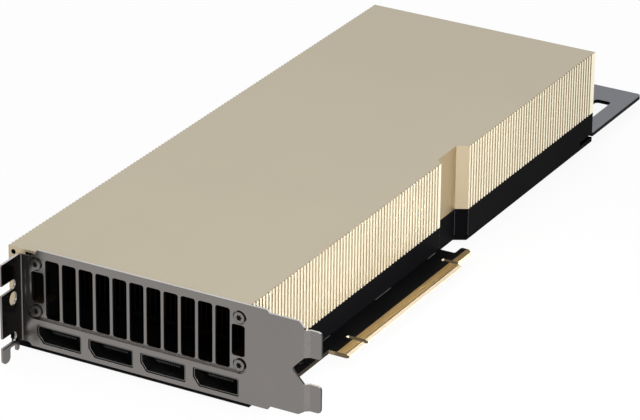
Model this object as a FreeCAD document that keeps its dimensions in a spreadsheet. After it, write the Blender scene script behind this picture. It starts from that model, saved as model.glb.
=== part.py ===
"""Passive dual-slot accelerator card: ribbed cover, cast frame, board, bracket and rear extender.

Millimetres. Every sub-part is drawn in the card's own coordinates: X runs from the outer face of
the I/O bracket towards the rear of the card, Y from the edge of the gold fingers towards the top
edge of the card, and Z from the component side of the board towards the cover. Each sub-part's
Placement then puts the origin at the middle of the key notch in the card edge.
"""

import FreeCAD, Part
import math
import os

import Sketcher

Vector = FreeCAD.Vector

# ---------------------------------------------------------------------------------------------
# Driving dimensions
# ---------------------------------------------------------------------------------------------

DIMENSIONS = [
    ("card_length", 267.7, "bracket face to the rear end of the cover"),
    ("card_height", 111.15, "finger edge to the top edge of the card"),
    ("key_place", 60.0, "bracket face to the middle of the key notch"),
    # side wall of the cover, frame and backplate, on the card-edge side
    ("front_wall", 13.6, "outer face of the ribbed wall in front of the inset"),
    ("rear_wall", 12.1, "outer face of the ribbed wall behind the inset"),
    ("inset_wall", 16.5, "outer face of the smooth inset wall"),
    ("inset_start", 140.5, "front corner of the inset"),
    ("inset_finish", 160.6, "rear corner of the inset"),
    ("inset_ramp", 2.6, "length of each slanted wall of the inset"),
    # cover
    ("cover_front", 1.0, "front face of the cover, behind the bracket sheet"),
    ("cover_top", 34.8, "outer face of the cover's roof"),
    ("seam", 9.0, "lower edge of the cover, top of the frame"),
    ("cover_skin", 1.6, "side wall of the cover at a rib"),
    ("cover_roof", 1.3, "roof of the cover"),
    ("face_clearance", 0.15, "cover's ears behind the bracket's pressed panel"),
    ("ear_back", 9.0, "rear face of the two ears that hold the bracket"),
    ("corner_hole_radius", 0.9, "small hole in the front corner of the cover"),
    ("corner_hole_inset", 2.1, "centre of that hole from the top and from the side"),
    ("corner_hole_depth", 5.0, "depth of that hole"),
    ("rib_pitch", 2.17, "from rib to rib"),
    ("rib_depth", 0.5, "depth of the grooves between ribs"),
    ("groove_mouth", 1.15, "width of a groove at the face of the wall"),
    ("groove_floor", 0.55, "width of a groove at its floor"),
    ("rib_lead", 0.8, "first groove from the corner of its wall"),
    ("post_radius", 3.0, "screw posts of the cover and the frame"),
    ("front_post_place", 19.5, "front posts of the cover"),
    ("rear_post_inset", 5.2, "rear posts of the cover, from the rear end"),
    ("post_inset", 3.1, "middle of a post from the inner face of its wall"),
    # frame
    ("frame_wall", 1.6, "side wall of the frame"),
    ("floor_low", 2.0, "underside of the frame's floor"),
    ("floor_high", 4.5, "top of the frame's floor"),
    ("deck_low", 7.7, "underside of the decks over the ports and the power socket"),
    ("front_deck", 18.0, "rear edge of the front deck"),
    ("rear_deck", 15.0, "length of the rear deck"),
    ("stud_radius", 2.6, "screw studs under the frame's floor"),
    # board
    ("board_thickness", 1.57, "board"),
    ("board_front", 1.6, "front edge of the board"),
    ("board_low", 8.3, "lower main edge of the board, above the finger edge"),
    ("board_margin", 0.2, "clearance between the board and the walls round it"),
    ("board_rear_gap", 11.2, "rear edge of the board from the rear end of the cover"),
    ("tab_length", 85.2, "finger tab"),
    ("short_tab", 11.65, "finger tab in front of the key notch"),
    ("key_width", 1.9, "key notch and hook slot"),
    ("key_depth", 8.2, "key notch from the finger edge"),
    ("hook_slot_depth", 8.8, "hook slot from the finger edge"),
    ("hook_tip", 146.3, "outer end of the retention hook"),
    ("hook_low", 2.6, "lower edge of the hook"),
    ("hook_high", 7.3, "upper edge of the hook"),
    ("hook_round", 0.7, "corners of the hook"),
    ("bevel_height", 1.3, "bevel along the finger edge"),
    ("bevel_depth", 0.42, "bevel into each side of the board"),
    ("tooling_place", 33.2, "tooling hole in the board"),
    ("tooling_height", 10.9, "tooling hole above the finger edge"),
    ("tooling_radius", 1.1, "tooling hole"),
    ("finger_pitch", 1.0, "gold fingers"),
    ("finger_width", 0.7, "gold fingers"),
    ("finger_top", 5.0, "upper end of the gold fingers"),
    ("finger_lead", 0.65, "first finger's middle from the edge of its tab"),
    ("copper", 0.06, "thickness of the fingers and the ground strips"),
    ("strip_width", 0.2, "ground strips at the foot of the frame's wall"),
    ("strip_length", 11.6, "ground strips"),
    ("strip_front", 46.0, "front end of the first ground strip"),
    ("strip_middle", 96.8, "middle of the second ground strip"),
    ("strip_rear", 137.0, "rear end of the third ground strip"),
    # backplate
    ("backplate_front", 1.5, "front edge of the backplate"),
    ("backplate_low", 4.2, "underside of the backplate below the component side"),
    ("backplate_skin", 1.2, "plate of the backplate"),
    ("backplate_rim", 3.0, "rim of the backplate that carries the board"),
    ("backplate_bevel", 0.8, "bevel round the underside"),
    # I/O bracket
    ("bracket_sheet", 0.86, "bracket sheet"),
    ("bracket_low", 1.6, "lower edge of the bracket below the component side"),
    ("bracket_high", 36.1, "upper edge of the bracket"),
    ("bracket_shoulder", 5.0, "where the wide part of the bracket ends"),
    ("shoulder_step", 1.1, "step at each shoulder"),
    ("neck_low", 0.2, "lower edge of the neck below the component side"),
    ("neck_high", 35.0, "upper edge of the neck"),
    ("neck_rise", 1.3, "rise of the neck's lower corner at the tongues"),
    ("neck_finish", -6.4, "where the neck starts to taper"),
    ("tongue_root", -8.5, "root of the two tongues"),
    ("tongue_bend", -10.2, "bend line of the tongues"),
    ("tongue_finish", -14.4, "free end of the tongues"),
    ("tongue_width", 10.19, "tongue"),
    ("tongue_middle", 6.4, "middle of the lower tongue"),
    ("tongue_joggle", 1.3, "how far a tongue's end is bent in"),
    ("tongue_round", 1.2, "corners of the tongues"),
    ("slot_pitch", 20.32, "from slot to slot in a chassis"),
    ("notch_apex", -4.1, "apex of the V between the tongues"),
    ("notch_flat", 1.0, "width of that apex"),
    ("flange_face", 105.5, "inner face of the flange"),
    ("flange_high", 33.3, "upper edge of the flange"),
    ("flange_reach", 12.2, "free edge of the flange in front of the bracket"),
    ("flange_relief_start", 101.5, "foot of the slanted relief beside the flange"),
    ("flange_relief_finish", 98.6, "top of that relief"),
    ("flange_relief_run", 2.0, "lower slope of that relief, across"),
    ("bend_radius", 0.5, "inside radius of the flange's bend"),
    ("screw_notch_middle", 3.0, "middle of the lower screw notch"),
    ("screw_notch_width", 3.7, "screw notches"),
    ("screw_notch_reach", 7.1, "closed end of the screw notches from the bracket face"),
    ("flange_slot_place", 5.1, "middle of the flange's slot from the bracket face"),
    ("flange_slot_middle", 17.9, "middle of that slot above the component side"),
    ("flange_slot_radius", 2.2, "that slot"),
    ("flange_slot_length", 5.1, "that slot, end to end"),
    ("tail_low", 5.4, "lower end of the flange's tail below the component side"),
    ("tail_width", 4.6, "flange's tail"),
    ("flange_low", 0.5, "lower edge of the flange between the tail and the nub"),
    ("nub_low", 3.2, "lower end of the nub beside the bend"),
    ("nub_width", 1.9, "nub"),
    ("nub_place", 2.75, "middle of the nub from the bracket face"),
    ("flange_round", 0.7, "small corners of the flange"),
    ("tail_round", 2.0, "lower corners of the tail"),
    # pressed panel with the vents
    ("panel_middle", 58.7, "middle of the pressed panel"),
    ("panel_length", 89.4, "pressed panel"),
    ("panel_low", 9.1, "lower edge of the pressed panel"),
    ("panel_high", 33.2, "upper edge of the pressed panel"),
    ("panel_depth", 1.2, "how far the panel is pressed in"),
    ("panel_corner", 3.1, "corners of the pressed panel"),
    ("panel_draw", 0.5, "slope of the pressed edge, seen from behind"),
    ("vent_count", 11, "vents"),
    ("vent_pitch", 6.9, "vents"),
    ("vent_width", 5.8, "vents"),
    ("vent_low", 9.8, "lower end of the vents"),
    ("vent_high", 32.4, "upper end of the vents"),
    ("vent_corner", 1.0, "corners of the vents and the small slots"),
    ("small_slot_place", 40.7, "small slots from the middle of the panel"),
    ("small_slot_width", 5.2, "small slots"),
    ("small_slot_low", 15.1, "small slots"),
    ("small_slot_high", 27.0, "small slots"),
    ("bracket_screw_place", 41.3, "bracket screws from the middle of the panel"),
    ("bracket_screw_low", 11.9, "lower bracket screws"),
    ("bracket_screw_high", 30.0, "upper bracket screws"),
    ("seat_radius", 2.7, "sunk seats of the bracket screws"),
    ("seat_depth", 0.45, "sunk seats of the bracket screws"),
    # video ports
    ("port_count", 4, "video ports"),
    ("port_pitch", 21.27, "video ports"),
    ("port_side", 80.9, "near side of the first port's opening"),
    ("port_width", 18.3, "port openings"),
    ("port_low", 0.15, "lower edge of the port openings"),
    ("port_high", 7.05, "upper edge of the port openings"),
    ("port_slant", 2.5, "slanted corner of a port opening, across"),
    ("port_slant_height", 3.15, "slanted corner of a port opening, up"),
    ("port_corner", 0.6, "corners of the port openings"),
    ("port_gap", 0.25, "between an opening and the shell behind it"),
    ("port_sheet", 0.35, "sheet of the port shells"),
    ("port_mouth", 0.3, "front edge of the port shells"),
    ("port_rear", 14.2, "rear edge of the port shells"),
    ("port_well", 6.4, "floor of a port's well"),
    ("blade_front", 3.6, "front edge of a port's contact blade"),
    ("blade_length", 11.0, "contact blade, across"),
    ("blade_low", 3.5, "contact blade"),
    ("blade_thickness", 1.4, "contact blade"),
    ("latch_front", 3.0, "latch slots in a port shell's roof"),
    ("latch_length", 2.6, "latch slots in a port shell's roof"),
    ("latch_width", 1.6, "latch slots in a port shell's roof"),
    ("seam_place", 6.0, "split in a port shell's floor"),
    ("seam_gap", 0.15, "split in a port shell's floor"),
    # heat sink
    ("sink_front", 24.0, "front end of the heat sink"),
    ("sink_rear_gap", 16.0, "rear end of the heat sink from the rear end of the cover"),
    ("sink_side_gap", 1.6, "heat sink from the side walls"),
    ("chamber_low", 4.8, "underside of the vapour chamber"),
    ("chamber_thickness", 3.0, "vapour chamber"),
    ("fin_top", 33.0, "top of the fins"),
    ("fin_pitch", 2.1, "fins"),
    ("fin_thickness", 0.4, "fins"),
    ("fin_skin", 0.6, "soldered feet of the fins, one sheet"),
    ("seal_width", 8.0, "foam strips between the fins and the roof"),
    # processor and its clamp
    ("core_place", 118.0, "middle of the processor from the bracket face"),
    ("core_height", 62.0, "middle of the processor from the finger edge"),
    ("package_width", 47.5, "processor package"),
    ("package_thickness", 1.3, "processor package"),
    ("die_length", 25.0, "processor die, along the card"),
    ("die_width", 24.0, "processor die, across the card"),
    ("die_thickness", 0.8, "processor die"),
    ("stiffener_width", 4.0, "stiffener ring on the package"),
    ("paste_thickness", 0.1, "thermal paste"),
    ("core_window", 58.0, "window of the frame round the processor"),
    ("clamp_spacing", 52.0, "clamp screws, both ways"),
    ("clamp_screw_radius", 1.0, "clamp screws"),
    ("clamp_thickness", 0.7, "spring plate behind the board"),
    ("clamp_margin", 3.0, "clamp screws from the edges of the spring plate"),
    ("clamp_head_radius", 1.7, "heads of the clamp screws"),
    ("clamp_head_height", 0.6, "heads of the clamp screws"),
    ("leg_radius", 2.2, "legs of the vapour chamber"),
    # chips and power parts
    ("memory_length", 14.0, "memory chips"),
    ("memory_width", 12.0, "memory chips"),
    ("memory_thickness", 1.1, "memory chips"),
    ("memory_pitch", 16.5, "memory chips"),
    ("memory_rise", 35.5, "outer rows of memory chips from the middle of the processor"),
    ("memory_reach", 41.0, "memory chips from the middle of the processor"),
    ("coil_width", 7.0, "power inductors"),
    ("coil_height", 4.0, "power inductors"),
    ("coil_clearance", 1.0, "between the inductors and their windows"),
    ("coil_pitch", 9.0, "power inductors"),
    ("coil_count", 8, "power inductors in a column"),
    ("coil_column", 196.0, "first column of power inductors"),
    ("column_pitch", 27.0, "columns of power parts"),
    ("stage_width", 5.5, "power stages"),
    ("stage_height", 0.9, "power stages"),
    ("stage_offset", 10.5, "power stages from their inductors"),
    ("capacitor_height", 1.8, "power capacitors"),
    ("capacitor_width", 4.3, "power capacitors"),
    ("capacitor_length", 7.3, "power capacitors"),
    ("capacitor_offset", 11.0, "power capacitors from their inductors"),
    ("controller_width", 11.0, "board controller chip"),
    ("controller_place", 42.0, "board controller chip"),
    # power socket
    ("socket_middle", 87.0, "middle of the power socket"),
    ("socket_width", 19.4, "power socket"),
    ("socket_height", 7.2, "power socket"),
    ("socket_length", 11.6, "power socket"),
    ("socket_clearance", 0.4, "between the power socket and the frame"),
    ("socket_inset", 1.1, "power socket's mouth from the rear end of the cover"),
    ("socket_wall", 1.2, "walls of the power socket"),
    ("socket_well", 8.0, "depth of the socket's well"),
    ("pin_pitch", 3.0, "power pins"),
    ("pin_width", 0.9, "power pins"),
    ("pin_reach", 4.6, "power pins above the floor of the well"),
    # extender
    ("extender_rear", 314.0, "rear end of the extender from the bracket face"),
    ("extender_thickness", 1.57, "extender plate"),
    ("extender_corner", 2.0, "outer corners of the extender"),
    ("extender_gap", 0.5, "between the cover's rear end and the wide part"),
    ("extender_neck", 10.4, "length of the extender's neck inside the card"),
    ("extender_step", 1.9, "neck of the extender, inside its wide part"),
    ("window_side", 7.0, "bar beside the extender's windows"),
    ("window_width", 6.9, "extender's windows"),
    ("window_front", 6.0, "front edge of the windows behind the cover's rear end"),
    ("window_rear", 13.7, "bar behind the windows"),
    ("window_corner", 1.5, "corners of the windows"),
    ("extender_hole_radius", 1.7, "fixing holes near the rear end"),
    ("extender_hole_spacing", 35.0, "fixing holes"),
    ("extender_hole_inset", 7.0, "fixing holes from the rear end"),
    # screws
    ("screw_gap", 0.05, "between a screw and its thread"),
    ("screw_clearance", 0.3, "between a screw and a hole that it passes through"),
    ("small_screw_radius", 1.0, "backplate and extender screws"),
    ("long_screw_radius", 1.25, "cover and bracket screws"),
    ("sunk_head_radius", 2.1, "countersunk heads"),
    ("sunk_head_height", 1.0, "countersunk heads"),
    ("bracket_head_radius", 2.25, "heads of the bracket screws"),
    ("bracket_head_height", 1.1, "heads of the bracket screws"),
    ("bracket_screw_length", 6.0, "bracket screws under the head"),
    ("small_screw_length", 6.6, "backplate screws under the face"),
    ("extender_screw_length", 9.0, "extender screws under the face"),
    ("long_screw_reach", 6.0, "cover screws above the seam"),
    ("drive_radius", 1.3, "six-lobe drive of the bracket screws"),
    ("drive_depth", 0.8, "depth of the drives"),
    ("backplate_screw_first", 86.0, "first row of backplate screws"),
    ("backplate_screw_pitch", 62.0, "rows of backplate screws"),
    ("backplate_screw_rows", 3, "rows of backplate screws"),
    ("backplate_screw_low", 21.0, "lower backplate screws"),
    ("backplate_screw_high", 104.6, "upper backplate screws"),
]

doc = FreeCAD.newDocument("accelerator_card")
sheet = doc.addObject("Spreadsheet::Sheet", "sizes")
for row, (alias, number, meaning) in enumerate(DIMENSIONS, start=1):
    sheet.set(f"A{row}", alias)
    sheet.set(f"B{row}", str(number))
    sheet.set(f"C{row}", meaning)
    sheet.setAlias(f"B{row}", alias)
doc.recompute()


class Size:
    """A length with the sheet expression that it stands for."""

    def __init__(self, value, text):
        self.value = value
        self.text = text

    def __add__(self, other):
        other = as_size(other)
        return Size(self.value + other.value, f"({self.text} + {other.text})")

    def __sub__(self, other):
        other = as_size(other)
        return Size(self.value - other.value, f"({self.text} - {other.text})")

    def __mul__(self, other):
        other = as_size(other)
        return Size(self.value * other.value, f"{self.text} * {other.text}")

    def __truediv__(self, other):
        other = as_size(other)
        return Size(self.value / other.value, f"{self.text} / {other.text}")

    def __neg__(self):
        return Size(-self.value, f"(0 - {self.text})")

    __radd__ = __add__
    __rmul__ = __mul__

    def __rsub__(self, other):
        return as_size(other) - self

    def whole(self):
        """The largest whole number that is not above this size."""
        return Size(math.floor(self.value), f"floor({self.text})")


def as_size(number):
    return number if isinstance(number, Size) else Size(number, str(number))


class Sizes:
    """Gives each cell of the sheet by its alias, as a Size."""

    def __getattr__(self, alias):
        return Size(float(sheet.get(alias)), f"sizes.{alias}")


dim = Sizes()

# ---------------------------------------------------------------------------------------------
# Helpers for bodies, sketches and features
# ---------------------------------------------------------------------------------------------


def new_body(label):
    """A body whose Placement moves the card's coordinates to the key notch."""
    body = doc.addObject("PartDesign::Body", label)
    body.Label = label
    body.setExpression("Placement.Base.x", (-dim.key_place).text)
    return body


def origin_feature(body, role):
    return [item for item in body.Origin.OriginFeatures if item.Role == role][0]


def new_sketch(body, name, plane, offset=0):
    """An empty sketch on one of the body's own planes, moved along the plane's normal."""
    sketch = body.newObject("Sketcher::SketchObject", name)
    sketch.AttachmentSupport = [(origin_feature(body, plane), "")]
    sketch.MapMode = "FlatFace"
    sketch.setExpression("AttachmentOffset.Base.z", as_size(offset).text)
    return sketch


def bind(sketch, constraints):
    """Adds constraints together; each comes with the size that drives it, or with None."""
    places = sketch.addConstraint([constraint for constraint, size in constraints])
    for place, (constraint, size) in zip(places, constraints):
        if size is not None:
            sketch.setExpression(f"Constraints[{place}]", size.text)


def pinned(geometry, end, across, up):
    """Holds one point of a sketch at two distances from the sketch's origin."""
    return [(Sketcher.Constraint(kind, -1, 1, geometry, end, size.value), size)
            for kind, size in (("DistanceX", across), ("DistanceY", up))]


def outline(sketch, corners):
    """A closed outline through the corners; a third value rounds a corner with an arc."""
    corners = [tuple(as_size(value) for value in corner) for corner in corners]
    count = len(corners)
    points = [Vector(corner[0].value, corner[1].value, 0) for corner in corners]
    starts, finishes, arcs = {}, {}, {}
    for index, corner in enumerate(corners):
        here = points[index]
        back = (points[index - 1] - here).normalize()
        ahead = (points[(index + 1) % count] - here).normalize()
        if len(corner) == 2:
            starts[index] = finishes[index] = here
            continue
        radius = corner[2].value
        half = back.getAngle(ahead) / 2
        run = radius / math.tan(half)
        finishes[index] = here + back * run
        starts[index] = here + ahead * run
        middle = here + (back + ahead).normalize() * (radius / math.sin(half))
        ends = [finishes[index], starts[index]]
        if ahead.cross(back).z < 0:
            ends.reverse()
        angles = [math.atan2(end.y - middle.y, end.x - middle.x) for end in ends]
        ring = Part.Circle(middle, Vector(0, 0, 1), radius)
        arcs[index] = (Part.ArcOfCircle(ring, *angles), 1 if ends[0] is finishes[index] else 2)
    lines = [Part.LineSegment(starts[index], finishes[(index + 1) % count])
             for index in range(count)]
    lines = sketch.addGeometry(lines, False)
    held = []
    for index, corner in enumerate(corners):
        incoming, outgoing = lines[index - 1], lines[index]
        if index not in arcs:
            held.append((Sketcher.Constraint("Coincident", incoming, 2, outgoing, 1), None))
            held += pinned(outgoing, 1, corner[0], corner[1])
            continue
        point = sketch.addGeometry(Part.Point(points[index]), True)
        arc, first = sketch.addGeometry(arcs[index][0], False), arcs[index][1]
        held += pinned(point, 1, corner[0], corner[1])
        held += [(Sketcher.Constraint("PointOnObject", point, 1, incoming), None),
                 (Sketcher.Constraint("PointOnObject", point, 1, outgoing), None),
                 (Sketcher.Constraint("Tangent", incoming, 2, arc, first), None),
                 (Sketcher.Constraint("Tangent", arc, 3 - first, outgoing, 1), None),
                 (Sketcher.Constraint("Radius", arc, corner[2].value), corner[2])]
    bind(sketch, held)


def rectangle(sketch, left, low, right, high, corner=None):
    """A rectangle, with all its corners rounded where a corner radius is given."""
    rounding = () if corner is None else (corner,)
    outline(sketch, [(left, low) + rounding, (right, low) + rounding,
                     (right, high) + rounding, (left, high) + rounding])


def slot(sketch, first, second, radius):
    """A slot with round ends, between the middles of its two end arcs."""
    ends = [tuple(as_size(value) for value in end) for end in (first, second)]
    middles = [Vector(end[0].value, end[1].value, 0) for end in ends]
    along = (middles[1] - middles[0]).normalize() * radius.value
    side = Vector(-along.y, along.x, 0)
    sides = [Part.LineSegment(middles[0] - side, middles[1] - side),
             Part.LineSegment(middles[1] + side, middles[0] + side)]
    turns = [Part.Arc(middles[0] + side, middles[0] - along, middles[0] - side),
             Part.Arc(middles[1] - side, middles[1] + along, middles[1] + side)]
    near, far = sketch.addGeometry(sides, False)
    start, finish = sketch.addGeometry(turns, False)
    held = [(Sketcher.Constraint("Tangent", start, 2, near, 1), None),
            (Sketcher.Constraint("Tangent", near, 2, finish, 1), None),
            (Sketcher.Constraint("Tangent", finish, 2, far, 1), None),
            (Sketcher.Constraint("Tangent", far, 2, start, 1), None)]
    for turn, end in zip((start, finish), ends):
        held += pinned(turn, 3, end[0], end[1])
        held.append((Sketcher.Constraint("Radius", turn, radius.value), radius))
    bind(sketch, held)


def circle(sketch, across, up, radius):
    across, up, radius = as_size(across), as_size(up), as_size(radius)
    centre = Vector(across.value, up.value, 0)
    ring = sketch.addGeometry(Part.Circle(centre, Vector(0, 0, 1), radius.value), False)
    width = (Sketcher.Constraint("Radius", ring, radius.value), radius)
    bind(sketch, pinned(ring, 3, across, up) + [width])


def pad(body, name, sketch, length):
    """Adds the sketch's area along its normal; a negative length goes the other way."""
    feature = body.newObject("PartDesign::Pad", name)
    feature.Profile = sketch
    return set_length(feature, length, length.value < 0)


def pocket(body, name, sketch, length):
    """Removes the sketch's area along its normal; a negative length goes the other way."""
    feature = body.newObject("PartDesign::Pocket", name)
    feature.Profile = sketch
    return set_length(feature, length, length.value > 0)


def set_length(feature, length, reverse):
    sign = "0 - " if length.value < 0 else ""
    feature.Reversed = reverse
    feature.setExpression("Length", f"{sign}{length.text}")
    return feature


def repeat(body, name, features, axis, pitch, count, reverse=False):
    """A row of copies of one or more features along one of the body's axes."""
    pattern = body.newObject("PartDesign::LinearPattern", name)
    pattern.Originals = features if isinstance(features, list) else [features]
    pattern.Direction = (origin_feature(body, axis), [""])
    pattern.Mode = "Spacing"
    pattern.Reversed = reverse
    pattern.setExpression("Offset", pitch.text)
    pattern.setExpression("Occurrences", count.text)
    body.Tip = pattern
    return pattern


def round_edges(body, name, radius, choose, kind="PartDesign::Fillet"):
    """Rounds or bevels the edges of the body's tip that the function picks."""
    base = body.Tip
    base.recompute(True)
    picked = [f"Edge{i}" for i, edge in enumerate(base.Shape.Edges, start=1) if choose(edge)]
    feature = body.newObject(kind, name)
    feature.Base = (base, picked)
    feature.setExpression("Radius" if kind.endswith("Fillet") else "Size", radius.text)
    body.Tip = feature
    return feature


# ---------------------------------------------------------------------------------------------
# Places that several sub-parts share
# ---------------------------------------------------------------------------------------------

board_under = -dim.board_thickness
board_top_edge = dim.card_height - dim.frame_wall - dim.board_margin
board_rear = dim.card_length - dim.board_rear_gap
cavity_low = dim.front_wall + dim.cover_skin
cavity_high = dim.card_height - dim.cover_skin
rear_post_place = dim.card_length - dim.rear_post_inset
panel_back = dim.panel_depth + dim.bracket_sheet
ear_front = panel_back + dim.face_clearance
ear_low = dim.panel_middle - dim.vent_pitch * (dim.vent_count - 1) / 2 - dim.vent_width / 2
ear_high = dim.panel_middle + dim.vent_pitch * (dim.vent_count - 1) / 2 + dim.vent_width / 2
panel_near = dim.front_wall - dim.cover_skin
panel_far = dim.panel_middle + dim.panel_length / 2 + dim.panel_draw + dim.face_clearance
chamber_high = dim.chamber_low + dim.chamber_thickness
socket_low = dim.socket_middle - dim.socket_width / 2
socket_high = dim.socket_middle + dim.socket_width / 2
socket_rear = dim.card_length - dim.socket_inset
sink_low = dim.inset_wall + dim.cover_skin + dim.sink_side_gap / 2
sink_high = cavity_high - dim.sink_side_gap
sink_rear = dim.card_length - dim.sink_rear_gap
tab_front = dim.key_place - dim.key_width / 2 - dim.short_tab
tab_finish = tab_front + dim.tab_length
frame_inside_far = dim.card_height - dim.frame_wall
rear_bar_front = board_rear + dim.board_margin * 3
board_shoulder = dim.inset_start + dim.board_margin * 3
inset_inside = dim.inset_finish + dim.board_margin / 2


def wall_line(inwards, front, rear):
    """The card-edge side of the cover, frame and backplate, from front to rear.

    The line has the inset with its two slanted walls, and inwards moves it into the card.
    """
    bend = inwards / 2
    return [
        (front, dim.front_wall + inwards),
        (dim.inset_start - bend, dim.front_wall + inwards),
        (dim.inset_start + dim.inset_ramp - bend, dim.inset_wall + inwards),
        (dim.inset_finish - dim.inset_ramp + bend, dim.inset_wall + inwards),
        (dim.inset_finish + bend, dim.rear_wall + inwards),
        (rear, dim.rear_wall + inwards),
    ]


def post_places():
    """Middles of the four long cover screws: two through the board, two through the extender."""
    low = cavity_low + dim.post_inset
    high = cavity_high - dim.post_inset
    return [(dim.front_post_place, low), (dim.front_post_place, high),
            (rear_post_place, low), (rear_post_place, high)]


def backplate_screw_places():
    rows = range(int(dim.backplate_screw_rows.value))
    along = [dim.backplate_screw_first + dim.backplate_screw_pitch * row for row in rows]
    return [(x, y) for x in along for y in (dim.backplate_screw_low, dim.backplate_screw_high)]


def extender_screw_places():
    """Two screws between the power socket and the card-edge side of the extender's neck."""
    middle = socket_low / 2 + dim.rear_wall / 2
    return [(rear_post_place, middle - dim.extender_hole_spacing / 2),
            (rear_post_place, middle + dim.extender_hole_spacing / 2)]


def clamp_places():
    half = dim.clamp_spacing / 2
    return [(dim.core_place + half * across, dim.core_height + half * up)
            for across in (-1, 1) for up in (-1, 1)]


def memory_places():
    """Twelve chips round the processor: a column of four at each end, two above, two below."""
    places = []
    for side in (-1, 1):
        for step in (-1.5, -0.5, 0.5, 1.5):
            places.append((dim.core_place + dim.memory_reach * side,
                           dim.core_height + dim.memory_pitch * step))
        for step in (-0.5, 0.5):
            places.append((dim.core_place + dim.memory_pitch * step,
                           dim.core_height + dim.memory_rise * side))
    return places

coil_middles = [(dim.coil_column + dim.column_pitch * column, dim.core_height)
                for column in (0, 1)]


def coil_places():
    """Middles of the power inductors, in two columns behind the processor."""
    half = (dim.coil_count - 1) / 2
    places = []
    for column in (0, 1):
        x = dim.coil_column + dim.column_pitch * column
        for step in range(int(dim.coil_count.value)):
            places.append((x, dim.core_height + dim.coil_pitch * (step - half.value)))
    return places


# ---------------------------------------------------------------------------------------------
# Cover
# ---------------------------------------------------------------------------------------------


def groove_row(body, name, face, inwards, start, finish):
    """A row of upright grooves in a side wall, which leaves the ribs between them."""
    sketch = new_sketch(body, f"{name}_section", "XY_Plane", dim.seam)
    middle = start + dim.rib_lead + dim.groove_mouth / 2
    floor = face + dim.rib_depth * inwards
    mouth = face - dim.rib_depth * inwards
    flare = dim.groove_mouth - dim.groove_floor / 2
    outline(sketch, [
        (middle - flare, mouth), (middle - dim.groove_floor / 2, floor),
        (middle + dim.groove_floor / 2, floor), (middle + flare, mouth),
    ])
    groove = pocket(body, name, sketch, dim.cover_top - dim.seam)
    count = ((finish - start - dim.rib_lead) / dim.rib_pitch).whole()
    return repeat(body, f"{name}_row", groove, "X_Axis", dim.rib_pitch, count)


def make_cover():
    body = new_body("cover")
    shell = new_sketch(body, "cover_outline", "XY_Plane", dim.seam)
    outline(shell, wall_line(as_size(0), dim.cover_front, dim.card_length)
            + [(dim.card_length, dim.card_height), (dim.cover_front, dim.card_height)])
    height = dim.cover_top - dim.seam
    pad(body, "cover_block", shell, height)

    cavity = new_sketch(body, "cavity_outline", "XY_Plane", dim.seam)
    face_back = ear_front + dim.cover_roof
    ends = wall_line(dim.cover_skin, dim.ear_back, dim.card_length + dim.cover_skin)
    outline(cavity, ends + [
        (dim.card_length + dim.cover_skin, cavity_high), (dim.ear_back, cavity_high),
        (dim.ear_back, ear_high), (face_back, ear_high),
        (face_back, ear_low), (dim.ear_back, ear_low),
    ])
    pocket(body, "cavity", cavity, height - dim.cover_roof)

    panel = new_sketch(body, "panel_room", "YZ_Plane", dim.cover_front)
    rectangle(panel, panel_near, dim.seam - dim.cover_skin, panel_far,
              dim.panel_high + dim.panel_draw + dim.face_clearance)
    pocket(body, "panel_pocket", panel, ear_front - dim.cover_front)
    duct = new_sketch(body, "duct_mouth", "YZ_Plane", dim.cover_front)
    rectangle(duct, ear_low, dim.seam - dim.cover_skin, ear_high, dim.cover_top - dim.cover_roof)
    pocket(body, "duct_opening", duct, face_back + dim.cover_skin)

    slots = new_sketch(body, "ear_gaps", "YZ_Plane", ear_front)
    half = dim.small_slot_width / 2
    rectangle(slots, dim.panel_middle - dim.small_slot_place - half, dim.small_slot_low,
              ear_low + dim.rib_depth, dim.small_slot_high)
    rectangle(slots, ear_high - dim.rib_depth, dim.small_slot_low,
              dim.panel_middle + dim.small_slot_place + half, dim.small_slot_high)
    pocket(body, "ear_gap", slots, dim.ear_back - ear_front)

    threads = new_sketch(body, "bracket_threads", "YZ_Plane", ear_front)
    for y, z in bracket_screw_places():
        circle(threads, y, z, dim.long_screw_radius + dim.screw_gap)
    pocket(body, "bracket_thread", threads, dim.ear_back - ear_front - dim.screw_clearance)
    corner = new_sketch(body, "corner_hole_centre", "YZ_Plane", dim.cover_front)
    circle(corner, dim.card_height - dim.corner_hole_inset,
           dim.cover_top - dim.corner_hole_inset, dim.corner_hole_radius)
    pocket(body, "corner_hole", corner, dim.corner_hole_depth)

    posts = new_sketch(body, "post_sections", "XY_Plane", dim.seam)
    for x, y in post_places():
        circle(posts, x, y, dim.post_radius)
    pad(body, "posts", posts, height - dim.cover_roof)
    bores = new_sketch(body, "post_threads", "XY_Plane", dim.seam)
    for x, y in post_places():
        circle(bores, x, y, dim.long_screw_radius + dim.screw_gap)
    pocket(body, "post_thread", bores, dim.long_screw_reach + dim.cover_skin)

    groove_row(body, "front_groove", dim.front_wall, 1, ear_front, dim.inset_start)
    groove_row(body, "rear_groove", dim.rear_wall, 1, dim.inset_finish, dim.card_length)
    groove_row(body, "top_edge_groove", dim.card_height, -1, dim.cover_front, dim.card_length)
    return body


def bracket_screw_places():
    sides = (dim.panel_middle - dim.bracket_screw_place, dim.panel_middle + dim.bracket_screw_place)
    return [(y, z) for y in sides for z in (dim.bracket_screw_low, dim.bracket_screw_high)]


# ---------------------------------------------------------------------------------------------
# Base frame and backplate
# ---------------------------------------------------------------------------------------------


def room(body, name, inwards, low, high, front, rear, far):
    """Hollows the body between two levels, following the card-edge wall."""
    sketch = new_sketch(body, f"{name}_outline", "XY_Plane", low)
    outline(sketch, wall_line(inwards, front, rear) + [(rear, far), (front, far)])
    pocket(body, name, sketch, high - low)


def box_cut(body, name, low, high, left, near, right, far, corner=None):
    sketch = new_sketch(body, f"{name}_outline", "XY_Plane", low)
    rectangle(sketch, left, near, right, far, corner)
    pocket(body, name, sketch, high - low)


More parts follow.
